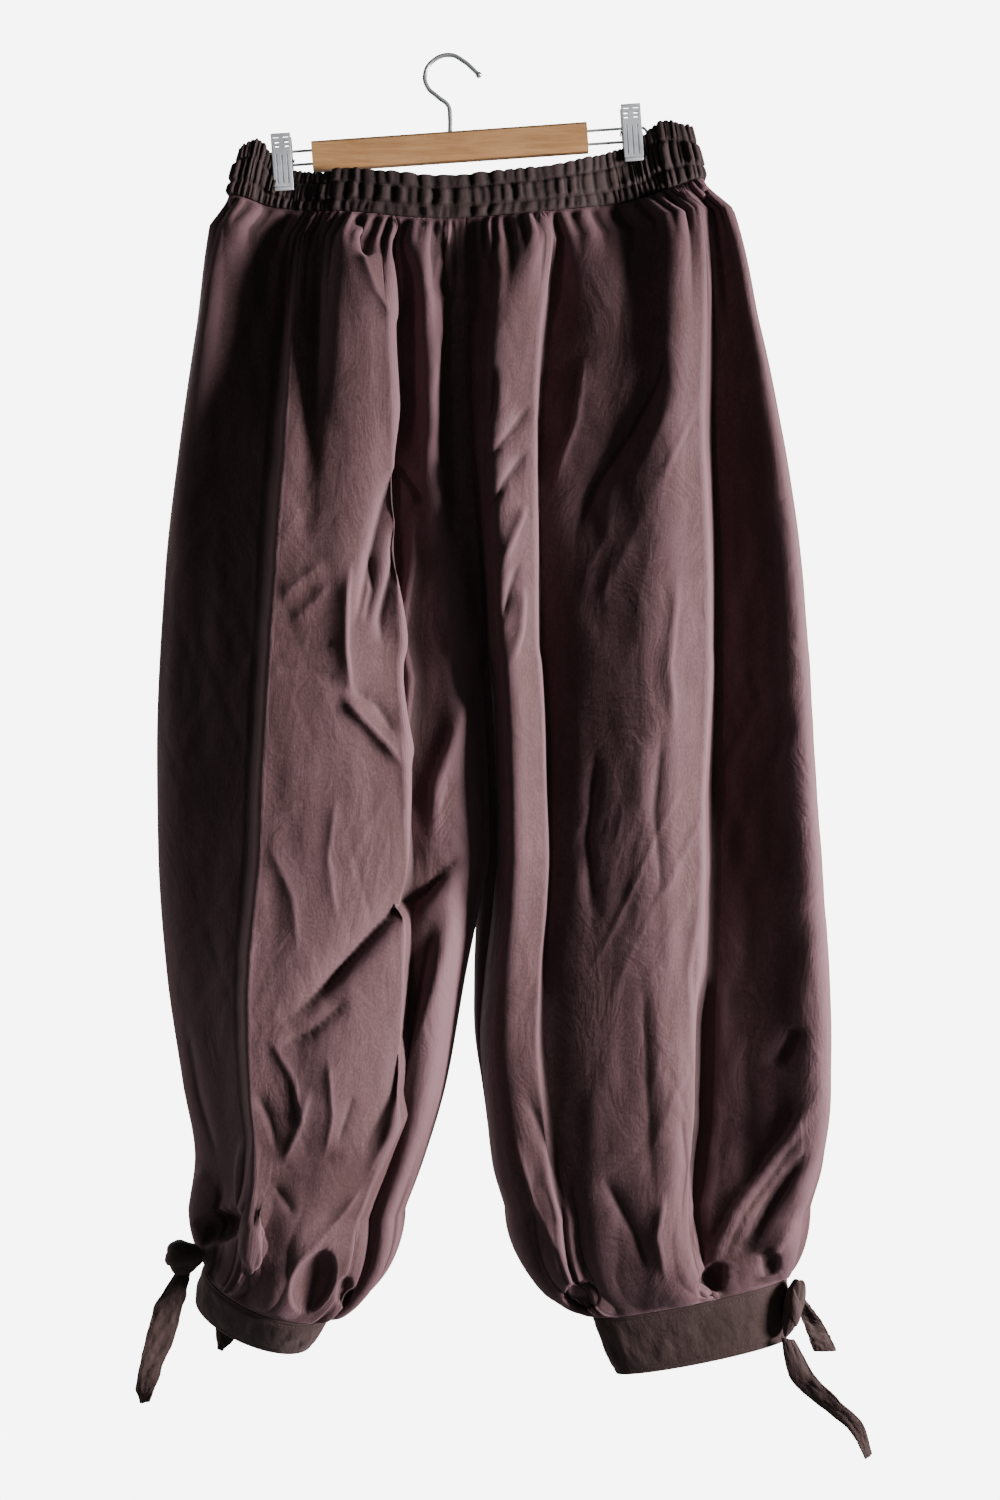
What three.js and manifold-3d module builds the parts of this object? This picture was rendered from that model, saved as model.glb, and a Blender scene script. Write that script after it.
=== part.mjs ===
// Balloon pants hanging on a wooden clip hanger. Millimetres, +Z up, front towards -Y.
// The origin is the underside of the hook's crown, where the hanger is held.
// "Drop" is the distance below the origin, and "forward" the distance in front of the hook.
import * as THREE from "three";
import { mergeVertices } from "three/addons/utils/BufferGeometryUtils.js";
import Module from "manifold-3d";

const wasm = await Module();
wasm.setup();

// ---- driving dimensions ----
const clothWall = 2;
const seamGap = 0.3;
const waistSeamDrop = 138; // nominal height of the seam under the waistband
const waistInsetDrop = 160; // down to here the side seams run in to the waist ring
const waistGripLength = 66; // the ring shapes the cloth for this far below the seam
const waistHoldLength = 85; // and the seam's slope fades out over this
const crotchDrop = 486;
const calfDrop = 760; // below here the legs swing forward with their cuffs
const cuffSwing = 0.6; // share of the cuff's forward place that the leg takes on
const ankleDrop = 940; // here each leg starts to close towards its cuff
const hemTurn = 0.8; // share of a quarter turn that the cloth makes into the cuff
const hemDrop = 1040; // nominal height of the cuff seam in the row tables
const centreSeamForward = 28;
const casingRidges = 42; // ruched ridges across one half of the waistband
const casingRidgeHeight = 1.7;
const waistPuffs = 11; // gathers across one leg panel under the waistband
const waistPuffHeight = 3.2;
const hemPuffs = 8; // gathers across one leg panel above its cuff
const hemPuffHeight = 4;
const cuffWall = 3;
const tieThickness = 1.6;
const hangerTilt = 4; // degrees, the bar's right end is higher
const barSize = { length: 226, depth: 12, height: 24, chamfer: 4, centreDrop: 74 };
const hookWireRadius = 1.8;
const hookBallRadius = 2.6;
const clipWireRadius = 1.1;
const clipWireSpacing = 11;
const clipPlate = { width: 16, height: 47, thickness: 1.8, halfGrip: 5.6 };
const clipSlots = { rows: 3, pitch: 3.4, fromTop: 4, across: 4, width: 4.4, height: 1.8 };
const clipGrooves = { pitch: 4.4, width: 1.4, height: 24, lower: 6, depth: 1 };

// ---- materials ----
const clothMaterial = new THREE.MeshStandardMaterial({ color: 0x54393c, roughness: 0.88, metalness: 0 });
const cuffMaterial = new THREE.MeshStandardMaterial({ color: 0x3d2b2b, roughness: 0.9, metalness: 0 });
const woodMaterial = new THREE.MeshStandardMaterial({ color: 0xcb9872, roughness: 0.5, metalness: 0 });
const steelMaterial = new THREE.MeshStandardMaterial({ color: 0xb9bcbf, roughness: 0.25, metalness: 1 });
const clipMaterial = new THREE.MeshStandardMaterial({ color: 0xbfc0c4, roughness: 0.4, metalness: 0.6 });

// ---- small tools ----
const clamp01 = (value) => Math.min(1, Math.max(0, value));
const mix = (from, to, share) => from + (to - from) * share;
const ease = (value) => { const t = clamp01(value); return t * t * (3 - 2 * t); };
const wave = (turns) => Math.sin(2 * Math.PI * turns);

// A smooth curve through a short table that doesn't overshoot its values.
function through(places, values, at) {
  const last = places.length - 1;
  if (at <= places[0]) return values[0];
  if (at >= places[last]) return values[last];
  const slopeOf = (i) => (values[i + 1] - values[i]) / (places[i + 1] - places[i]);
  const tangent = (i) => {
    if (i === 0) return slopeOf(0);
    if (i === last) return slopeOf(last - 1);
    const before = slopeOf(i - 1), after = slopeOf(i);
    return before * after <= 0 ? 0 : (2 * before * after) / (before + after);
  };
  let i = 0;
  while (at > places[i + 1]) i += 1;
  const step = places[i + 1] - places[i];
  const t = (at - places[i]) / step;
  const rise = values[i + 1] - values[i];
  const startBend = step * tangent(i) - rise, endBend = rise - step * tangent(i + 1);
  return values[i] + t * rise + t * (1 - t) * ((1 - t) * startBend + t * endBend);
}
const column = (rows, name) => rows.map((row) => row[name]);

// A point on the rounded curve that a chain of fold lines steers, t from 0 to 1.
function alongFolds(points, t) {
  const segments = points.length - 2;
  const place = Math.min(clamp01(t) * segments, segments - 1e-9);
  const i = Math.floor(place), u = place - i;
  const middle = points[i + 1];
  const start = i === 0 ? points[0] : points[i].clone().lerp(middle, 0.5);
  const end = i === segments - 1 ? points[i + 2] : middle.clone().lerp(points[i + 2], 0.5);
  return start.clone().multiplyScalar((1 - u) ** 2)
    .addScaledVector(middle, 2 * u * (1 - u)).addScaledVector(end, u * u);
}

// Joins two rows of corners, which may hold different numbers of points.
function stitch(faces, upper, lower) {
  let i = 0, j = 0;
  while (i < upper.length - 1 || j < lower.length - 1) {
    const nextUpper = i < upper.length - 1 ? upper[i + 1].t : Infinity;
    const nextLower = j < lower.length - 1 ? lower[j + 1].t : Infinity;
    if (nextUpper <= nextLower) {
      faces.push([upper[i], lower[j], upper[i + 1]]);
      i += 1;
    } else {
      faces.push([upper[i], lower[j], lower[j + 1]]);
      j += 1;
    }
  }
}

// A closed wall between rows of outer and inner corners, each corner { p, t }.
function wallGeometry(outer, inner, ring = false) {
  const faces = [];
  for (let i = 0; i < outer.length - 1; i += 1) stitch(faces, outer[i], outer[i + 1]);
  for (let i = 0; i < inner.length - 1; i += 1) stitch(faces, inner[i + 1], inner[i]);
  stitch(faces, inner[0], outer[0]);
  stitch(faces, outer.at(-1), inner.at(-1));
  if (!ring) {
    const edge = (rows, end) => rows.map((row, i) => ({ p: row.at(end).p, t: i / (rows.length - 1) }));
    stitch(faces, edge(outer, 0), edge(inner, 0));
    stitch(faces, edge(inner, -1), edge(outer, -1));
  }
  const flat = faces.flatMap((face) => face.flatMap(({ p }) => [p.x, p.y, p.z]));
  let geometry = new THREE.BufferGeometry();
  geometry.setAttribute("position", new THREE.Float32BufferAttribute(flat, 3));
  geometry = mergeVertices(geometry, 1e-4);
  return facingOut(geometry);
}

// Turns the faces round if the enclosed volume comes out negative.
function facingOut(geometry) {
  const place = geometry.attributes.position, index = geometry.index.array;
  const corner = (i) => new THREE.Vector3().fromBufferAttribute(place, index[i]);
  let volume = 0;
  for (let i = 0; i < index.length; i += 3) {
    volume += corner(i).dot(corner(i + 1).cross(corner(i + 2)));
  }
  if (volume < 0) {
    for (let i = 0; i < index.length; i += 3) [index[i + 1], index[i + 2]] = [index[i + 2], index[i + 1]];
  }
  geometry.computeVertexNormals();
  return geometry;
}

// ---- waist ----
// The waist seam seen from the front: its drop, and the height of the band above it.
const waistRows = [
  { x: -182, seam: 113, height: 36 },
  { x: -166, seam: 118, height: 47 },
  { x: -146, seam: 124, height: 32 },
  { x: -113, seam: 128, height: 31 },
  { x: -86, seam: 130, height: 35 },
  { x: -8, seam: 137, height: 35 },
  { x: 74, seam: 131, height: 36 },
  { x: 139, seam: 121, height: 42 },
  { x: 158, seam: 116, height: 44 },
  { x: 182, seam: 109, height: 53 },
  { x: 199, seam: 103, height: 45 },
  { x: 210, seam: 100, height: 40 },
];
const waistSeam = (x) => through(column(waistRows, "x"), column(waistRows, "seam"), x);
const bandHeight = (x) => through(column(waistRows, "x"), column(waistRows, "height"), x);

// The waist ring seen from above: pinched under the clips and bowed between them.
const waistRing = [
  { x: -181, forward: 0 }, { x: -181.4, forward: 7 }, { x: -167, forward: 10 },
  { x: -153, forward: 2.4 }, { x: -137, forward: 2.4 }, { x: -120, forward: 2.4 },
  { x: -94, forward: 13 }, { x: -50, forward: 18 }, { x: 10, forward: 17 },
  { x: 60, forward: 18 }, { x: 104, forward: 14 }, { x: 134, forward: 2.4 },
  { x: 152, forward: 2.4 }, { x: 168, forward: 2.4 }, { x: 186, forward: 10 },
  { x: 208.4, forward: 8 }, { x: 208, forward: 0 },
].map(({ x, forward }) => new THREE.Vector3(x, -forward, 0));

// The front of the waist ring at a place from side to side.
function waistPlaceAt(x) {
  let low = 0, high = 1;
  for (let i = 0; i < 24; i += 1) {
    const middle = (low + high) / 2;
    if (alongFolds(waistRing, middle).x < x) low = middle; else high = middle;
  }
  return alongFolds(waistRing, low);
}

function waistbandPoint(t, up) {
  const p = alongFolds(waistRing, t);
  const lean = 1 - 0.055 * up;
  const x = 13 + (p.x - 13) * lean;
  return new THREE.Vector3(x, p.y, -waistSeam(p.x) + seamGap / 2 + up * bandHeight(p.x));
}

// Ruched ridges in two elastic channels, parted by the stitch line in the middle.
const casingProfile = [
  { up: 0, lift: 0.25 }, { up: 0.24, lift: 1 }, { up: 0.5, lift: 0.2 },
  { up: 0.76, lift: 1 }, { up: 1, lift: 0.7 },
];
function waistbandHalf(side) {
  const columns = casingRidges * 3;
  const normalAt = (t) => {
    const ahead = alongFolds(waistRing, t + 0.004), behind = alongFolds(waistRing, t - 0.004);
    return new THREE.Vector3(ahead.y - behind.y, behind.x - ahead.x, 0).normalize();
  };
  const rowOf = (up, count, outside, lift) => {
    const row = [];
    for (let i = 0; i <= count; i += 1) {
      const t = i / count;
      const p = waistbandPoint(t, up);
      const n = i === 0 ? new THREE.Vector3(-1, 0, 0) : i === count ? new THREE.Vector3(1, 0, 0) : normalAt(t);
      const phase = t * casingRidges + 0.35 * wave(t * 5.3 + 0.2 * up) + 0.25 * wave(t * 11.7);
      const ridge = (0.5 + 0.5 * wave(phase)) * casingRidgeHeight * lift * (i === 0 || i === count ? 0.3 : 1);
      p.addScaledVector(n, outside ? clothWall / 2 + ridge : -clothWall / 2);
      if (i === 0 || i === count) p.y -= seamGap / 2;
      if (up === 1) p.z += 0.7 * wave(phase);
      p.y *= side;
      row.push({ p, t });
    }
    return row;
  };
  const outer = casingProfile.map(({ up, lift }) => rowOf(1 - up, columns, true, lift));
  const inner = [rowOf(1, columns, false, 0), rowOf(0.5, 28, false, 0), rowOf(0, columns, false, 0)];
  return wallGeometry(outer, inner);
}

// ---- leg outlines ----
// The legs' edges seen from the front. The inner edge is the centre seam above the crotch.
const centreSeam = [
  { drop: 138, x: 13 }, { drop: 224, x: 13 }, { drop: 322, x: 18 },
  { drop: 420, x: 25 }, { drop: 486, x: 29 },
];
const leftLeg = {
  outward: -1,
  outerEdge: [
    { drop: 138, x: -187 }, { drop: 160, x: -197 }, { drop: 224, x: -208 }, { drop: 322, x: -222 },
    { drop: 420, x: -233 }, { drop: 568, x: -240 }, { drop: 650, x: -239 }, { drop: 750, x: -232 },
    { drop: 839, x: -218 }, { drop: 900, x: -207 }, { drop: 940, x: -212 },
  ],
  innerEdge: [
    { drop: 486, x: 29 }, { drop: 500, x: 27 }, { drop: 568, x: 31 }, { drop: 650, x: 33 },
    { drop: 691, x: 25 }, { drop: 750, x: 13 }, { drop: 839, x: -3 }, { drop: 900, x: -21 },
    { drop: 940, x: -36 },
  ],
};
const rightLeg = {
  outward: 1,
  outerEdge: [
    { drop: 138, x: 214 }, { drop: 160, x: 233 }, { drop: 224, x: 255 }, { drop: 322, x: 274 },
    { drop: 420, x: 287 }, { drop: 568, x: 297 }, { drop: 691, x: 305 }, { drop: 802, x: 310 },
    { drop: 860, x: 309 }, { drop: 905, x: 304 }, { drop: 940, x: 294 },
  ],
  innerEdge: [
    { drop: 486, x: 29 }, { drop: 500, x: 32 }, { drop: 568, x: 37 }, { drop: 650, x: 39 },
    { drop: 691, x: 36 }, { drop: 750, x: 29 }, { drop: 802, x: 25 }, { drop: 860, x: 30 },
    { drop: 905, x: 35 }, { drop: 940, x: 45 },
  ],
};

// ---- folds ----
// Each fold line runs from the waistband to the cuff. "across" is its place in hundredths of
// the leg's width from the side seam, "out" how far it stands off the middle plane in mm.
const foldDrops = [138, 322, 486, 650, 839, 940]; // waist, hip, crotch, knee, calf, ankle
const standDrops = [205, 322, 486, 650, 839, 940]; // yoke, hip, crotch, knee, calf, ankle

const frontLeftFolds = [
  { fold: "side turn", across: [1, 1, 2, 1, 2, 2], out: [10, 8, 7, 7, 9, 10] },
  { fold: "side ridge", across: [3, 5, 5, 5, 7, 9], out: [26, 16, 15, 16, 20, 20] },
  { fold: "side slope", across: [14, 17, 17, 16, 17, 19], out: [16, 20, 26, 28, 34, 34] },
  { fold: "under panel edge", across: [31, 33, 32, 29, 25, 28], out: [14, 32, 42, 45, 50, 46] },
  { fold: "panel edge", across: [36, 38, 36, 33, 29, 31], out: [36, 52, 60, 64, 66, 58] },
  { fold: "edge strip", across: [38, 42, 40, 37, 33, 36], out: [34, 52, 60, 64, 66, 58] },
  { fold: "groove", across: [44, 47, 47, 45, 44, 45], out: [22, 50, 60, 65, 67, 60] },
  { fold: "pleat edge", across: [48, 52, 54, 54, 56, 54], out: [52, 58, 60, 65, 68, 61] },
  { fold: "pleat face", across: [61, 64, 63, 63, 66, 65], out: [58, 60, 58, 62, 66, 60] },
  { fold: "pleat inner", across: [71, 77, 76, 76, 83, 79], out: [50, 50, 48, 52, 57, 50] },
  { fold: "pleat valley", across: [70, 74, 74, 77, 86, 84], out: [12, 14, 20, 30, 40, 34] },
  { fold: "inner ridge", across: [84, 87, 86, 85, 93, 92], out: [46, 40, 34, 40, 50, 42] },
  { fold: "under inner ridge", across: [92, 91, 92, 93, 97, 96], out: [26, 26, 30, 34, 36, 30] },
  { fold: "inner plane", across: [97, 97, 98, 99, 99, 99], out: [28, 24, 18, 24, 18, 16] },
];
const frontRightFolds = [
  { fold: "side turn", across: [1, 1, 1, 1, 1, 2], out: [16, 22, 26, 28, 28, 17] },
  { fold: "side ridge", across: [2, 3, 3, 3, 3, 7], out: [34, 44, 52, 57, 60, 40] },
  { fold: "side slope", across: [6, 13, 16, 18, 19, 20], out: [22, 27, 31, 34, 38, 34] },
  { fold: "under panel edge", across: [10, 24, 29, 34, 37, 40], out: [14, 13, 13, 15, 22, 22] },
  { fold: "panel edge", across: [13, 28, 32, 38, 40, 42], out: [40, 50, 53, 55, 57, 50] },
  { fold: "panel crest", across: [21, 39, 47, 51, 48, 48], out: [52, 60, 63, 66, 71, 62] },
  { fold: "outer band", across: [35, 52, 61, 65, 65, 64], out: [34, 44, 52, 56, 62, 58] },
  { fold: "inner band", across: [48, 63, 72, 76, 74, 72], out: [36, 36, 42, 46, 54, 52] },
  { fold: "beside ridge", across: [66, 79, 83, 84, 82, 80], out: [14, 20, 26, 33, 44, 45] },
  { fold: "ridge outer", across: [69, 80, 84, 85, 84, 83], out: [46, 47, 44, 42, 48, 47] },
  { fold: "ridge crest", across: [84, 93, 95, 96, 94, 93], out: [54, 58, 57, 54, 45, 42] },
  { fold: "ridge inner", across: [90, 97, 98, 99, 97, 97], out: [40, 38, 32, 30, 28, 28] },
  { fold: "seam strip", across: [96, 99, 99, 100, 99, 99], out: [30, 24, 12, 14, 14, 16] },
];
const backLeftFolds = [
  { fold: "side turn", across: [2, 1, 1, 1, 1, 2], out: [10, 12, 12, 12, 10, 12] },
  { fold: "side ridge", across: [9, 8, 9, 8, 9, 10], out: [16, 20, 22, 22, 20, 18] },
  { fold: "side recess", across: [20, 19, 21, 20, 20, 22], out: [9, 11, 11, 12, 11, 12] },
  { fold: "outer fold", across: [33, 32, 34, 35, 33, 34], out: [19, 27, 28, 28, 26, 20] },
  { fold: "seat valley", across: [47, 46, 48, 50, 48, 46], out: [9, 12, 14, 11, 12, 14] },
  { fold: "inner fold", across: [60, 62, 62, 64, 62, 60], out: [20, 26, 28, 26, 24, 20] },
  { fold: "shallow valley", across: [74, 76, 76, 78, 76, 75], out: [10, 13, 14, 14, 14, 14] },
  { fold: "centre ridge", across: [88, 89, 90, 91, 90, 88], out: [14, 18, 18, 20, 18, 16] },
  { fold: "inner turn", across: [97, 97, 97, 98, 99, 98], out: [12, 11, 5, 4, 8, 10] },
];
// Its inner turn passes behind the other leg, so no light shows between the thighs.
const backRightFolds = [
  { fold: "side turn", across: [2, 1, 1, 1, 1, 2], out: [10, 12, 12, 12, 10, 12] },
  { fold: "side ridge", across: [7, 9, 8, 9, 8, 10], out: [15, 21, 23, 22, 20, 18] },
  { fold: "side valley", across: [17, 22, 23, 22, 21, 21], out: [8, 11, 12, 12, 12, 12] },
  { fold: "outer fold", across: [29, 35, 36, 34, 34, 33], out: [18, 26, 29, 27, 25, 20] },
  { fold: "seat valley", across: [44, 49, 47, 47, 49, 47], out: [10, 13, 12, 12, 12, 14] },
  { fold: "inner fold", across: [58, 64, 60, 61, 63, 60], out: [21, 27, 26, 28, 25, 20] },
  { fold: "shallow valley", across: [72, 77, 75, 75, 77, 75], out: [11, 13, 15, 13, 14, 14] },
  { fold: "centre ridge", across: [86, 90, 89, 90, 89, 88], out: [15, 18, 19, 20, 18, 16] },
  { fold: "inner turn", across: [97, 98, 108, 112, 102, 98], out: [12, 12, 14, 20, 12, 10] },
];

// ---- cuffs ----
// roll turns the ring as seen from the front, pitch lowers its front edge, both in degrees.
const cuffs = {
  left: {
    centre: new THREE.Vector3(-147, -24, -1003), halfWidth: 54, halfDepth: 27,
    roll: -23, pitch: 33, height: 42, taper: 0.94,
  },
  right: {
    centre: new THREE.Vector3(195, -16, -1012), halfWidth: 80, halfDepth: 19,
    roll: 11.5, pitch: 4, height: 50, taper: 0.88,
  },
};
const degrees = Math.PI / 180;
function cuffTurn({ roll, pitch }) {
  const turn = new THREE.Matrix4().makeRotationY(-roll * degrees);
  return turn.multiply(new THREE.Matrix4().makeRotationX(pitch * degrees));
}

// A point of the cuff's wall: angle 0 is the right end and 90 degrees the front.
function cuffPoint(cuff, angle, down, off) {
  const size = mix(1, cuff.taper, down / cuff.height);
  const x = Math.cos(angle), y = -Math.sin(angle);
  const across = new THREE.Vector3(x * cuff.halfWidth * size, y * cuff.halfDepth * size, -down);
  const outward = new THREE.Vector3(x / cuff.halfWidth, y / cuff.halfDepth, 0).normalize();
  across.addScaledVector(outward, off);
  return across.applyMatrix4(cuffTurn(cuff)).add(cuff.centre);
}

function cuffGeometry(cuff) {
  const sides = 40;
  const row = (down, off) => {
    const corners = [];
    for (let i = 0; i <= sides; i += 1) {
      corners.push({ p: cuffPoint(cuff, ((i % sides) / sides) * 2 * Math.PI, down, off), t: i / sides });
    }
    return corners;
  };
  const bulges = [
    { down: seamGap / 2, off: 0.6 }, { down: cuff.height * 0.2, off: 1.7 },
    { down: cuff.height * 0.8, off: 1.7 }, { down: cuff.height, off: 0.9 },
  ];
  const outer = bulges.map(({ down, off }) => row(down, off));
  const inner = [bulges[0], bulges[3]].map(({ down, off }) => row(down, off - cuffWall));
  return wallGeometry(outer, inner, true);
}

// ---- leg panels ----
function outlineAt(leg, drop) {
  const edgeAt = (rows) => through(column(rows, "drop"), column(rows, "x"), drop);
  return { outer: edgeAt(leg.outerEdge), inner: edgeAt(drop > crotchDrop ? leg.innerEdge : centreSeam) };
}

// How far the centre seam stands off the middle plane: a round saddle at the crotch.
function centreSeamOut(drop, facing) {
  const low = facing > 0 ? centreSeamForward : centreSeamForward * 0.6;
  const saddle = clamp01((drop - (crotchDrop - 60)) / 60);
  return low * mix(1, 0.7, clamp01((drop - 205) / 150)) * Math.sqrt(1 - saddle ** 2);
}

// The smooth middle surface of one panel. t runs from side seam to inner seam,
// drop from the waist seam to the hem. facing is 1 on the front and -1 on the back.
function panelPoint(panel, t, drop) {
  const { leg, folds, facing, cuff } = panel;
  const bodyDrop = Math.min(drop, ankleDrop);
  const { outer, inner } = outlineAt(leg, bodyDrop);
  const inset = through([waistSeamDrop, waistInsetDrop], [1, 0], drop);
  const sideX = mix(outer, leg.outward < 0 ? waistRing[0].x : waistRing.at(-1).x, inset);
  const steer = folds.map(({ across, out }) => new THREE.Vector3(
    mix(sideX, inner, through(foldDrops, across, bodyDrop) / 100),
    -facing * through(standDrops, out, bodyDrop), 0));
  steer.unshift(new THREE.Vector3(sideX, 0, 0));
  steer.push(new THREE.Vector3(inner, -facing * centreSeamOut(bodyDrop, facing), 0));
  const p = alongFolds(steer, t);
  const waistHold = 1 - ease((drop - waistSeamDrop) / waistHoldLength);
  const grip = 1 - Math.sin(clamp01((drop - waistSeamDrop) / waistGripLength) * Math.PI / 2);
  p.y = mix(p.y, waistPlaceAt(p.x).y * facing, grip);
  p.y += cuff.centre.y * cuffSwing * ease((bodyDrop - calfDrop) / (ankleDrop - calfDrop));
  p.z = -bodyDrop + (waistSeamDrop - waistSeam(p.x)) * waistHold;
  if (drop <= ankleDrop) return p;
  const share = clamp01((p.x - outer) / (inner - outer));
  const angle = leg.outward < 0 ? Math.PI * (1 - share) : Math.PI * share;
  const ring = cuffPoint(cuff, facing * angle, -seamGap / 2, 0);
  const reach = hemTurn * Math.PI / 2, turn = reach * clamp01((drop - ankleDrop) / (hemDrop - ankleDrop));
  const pull = (1 - Math.cos(turn)) / (1 - Math.cos(reach));
  const sink = Math.sin(turn) / Math.sin(reach);
  return new THREE.Vector3(mix(p.x, ring.x, pull), mix(p.y, ring.y, pull), mix(p.z, ring.z, sink));
}

function panelNormal(point, t, drop, flip) {
  const along = point(Math.min(1, t + 0.004), drop).sub(point(Math.max(0, t - 0.004), drop));
  const down = point(t, Math.min(hemDrop, drop + 1)).sub(point(t, Math.max(waistSeamDrop, drop - 1)));
  return along.cross(down).normalize().multiplyScalar(flip);
}

// Gathers under the waistband and above the cuff, rounded outwards.
function puffAt(t, drop, seed) {
  const puff = (count, shift) => {
    const phase = count * t + 0.22 * wave(2.3 * t + seed) + 0.12 * wave(5.1 * t + 2 * seed) + shift;
    return 2 * Math.abs(Math.sin(Math.PI * phase)) - 1;
  };
  const start = ease((drop - waistSeamDrop) / 12), fade = 1 - ease((drop - waistSeamDrop - 12) / 80);
  const hemRise = ease((drop - (ankleDrop - 60)) / 100), hemHold = 1 - ease((drop - hemDrop + 16) / 16);
  return waistPuffHeight * start * fade * puff(waistPuffs, seed)
    + hemPuffHeight * hemRise * hemHold * puff(hemPuffs, 2 * seed);
}

// The direction out of the cuff's wall where a panel's hem meets it.
function cuffNormal({ leg, facing, cuff }, base, t) {
  const from = base(0, ankleDrop).x, to = base(1, ankleDrop).x;
  const share = clamp01((base(t, ankleDrop).x - from) / (to - from));
  const angle = facing * (leg.outward < 0 ? Math.PI * (1 - share) : Math.PI * share);
  return cuffPoint(cuff, angle, 0, 1).sub(cuffPoint(cuff, angle, 0, 0)).normalize();
}

const rowDrops = [
  138, 143, 156, 178, 212, 262, 320, 385, 440, 470, 486, 500,
  555, 625, 700, 770, 835, 890, 930, 958, 985, 1008, 1028, 1040,
];

function panelGeometry(panel) {
  const { leg, facing, folds, seed } = panel;
  const flip = leg.outward * facing;
  const base = (t, drop) => panelPoint(panel, t, drop);
  const finished = (t, drop) => {
    const fadeEdge = Math.min(1, t * 14, (1 - t) * 14);
    const p = base(t, drop);
    const lift = puffAt(t, drop, seed) * fadeEdge;
    return lift === 0 ? p : p.addScaledVector(panelNormal(base, t, drop, flip), lift);
  };
  const segments = folds.length;
  const evenX = (count) => {
    const topRow = (t) => base(t, waistSeamDrop).x;
    const from = topRow(0), to = topRow(1);
    return Array.from({ length: count + 1 }, (_, i) => {
      if (i === 0 || i === count) return i / count;
      let low = 0, high = 1;
      for (let k = 0; k < 20; k += 1) {
        const middle = (low + high) / 2;
        if ((topRow(middle) - from) / (to - from) < i / count) low = middle; else high = middle;
      }
      return low;
    });
  };
  const evenT = (count) => Array.from({ length: count + 1 }, (_, i) => i / count);
  const topColumns = evenX(facing > 0 ? 46 : 32);
  const bodyColumns = evenT(segments * 2), hemColumns = evenT(facing > 0 ? 34 : 26);
  const outer = [], inner = [];
  rowDrops.forEach((drop) => {
    const columns = drop < 200 ? topColumns : drop < 900 ? bodyColumns : hemColumns;
    const outerRow = [], innerRow = [];
    columns.forEach((t) => {
      const p = finished(t, drop);
      let n = panelNormal(finished, t, drop, flip);
      const above = finished(t, Math.max(waistSeamDrop, drop - 1));
      const seam = finished(t, Math.min(hemDrop, drop + 1)).sub(above).normalize();
      const centre = t === 1 && drop <= crotchDrop, edge = t === 0 || t === 1;
      if (centre) {
        n = seam.clone().cross(new THREE.Vector3(facing, 0, 0)).normalize();
      } else if (edge) {
        n = new THREE.Vector3(t === 0 ? leg.outward : -leg.outward, 0, 0);
        n.addScaledVector(seam, -n.dot(seam)).normalize();
      }
      if (drop === hemDrop) n = cuffNormal(panel, base, t);
      if (edge) {
        const into = new THREE.Vector3(centre ? leg.outward : 0, centre ? 0 : -facing, 0);
        const aside = seam.clone().cross(n).normalize();
        const trim = drop > ankleDrop ? seamGap : seamGap / 2;
        p.addScaledVector(aside, Math.sign(aside.dot(into)) * trim);
      }
      if (centre && drop === crotchDrop) {
        n.set(0, 0, -1);
        p.y -= facing * seamGap / 2;
      }
      const outerCorner = p.clone().addScaledVector(n, clothWall / 2);
      const innerCorner = p.clone().addScaledVector(n, -clothWall / 2);
      if (drop === waistSeamDrop) {
        outerCorner.z = -waistSeam(outerCorner.x) - seamGap / 2;
        innerCorner.z = -waistSeam(innerCorner.x) - seamGap / 2;
      }
      outerRow.push({ p: outerCorner, t });
      innerRow.push({ p: innerCorner, t });
    });
    outer.push(outerRow);
    inner.push(innerRow);
  });
  return wallGeometry(outer, inner);
}

const panels = {
  front_left: { leg: leftLeg, folds: frontLeftFolds, facing: 1, cuff: cuffs.left, seed: 0.13 },
  front_right: { leg: rightLeg, folds: frontRightFolds, facing: 1, cuff: cuffs.right, seed: 0.41 },
  back_left: { leg: leftLeg, folds: backLeftFolds, facing: -1, cuff: cuffs.left, seed: 0.67 },
  back_right: { leg: rightLeg, folds: backRightFolds, facing: -1, cuff: cuffs.right, seed: 0.89 },
};

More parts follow.
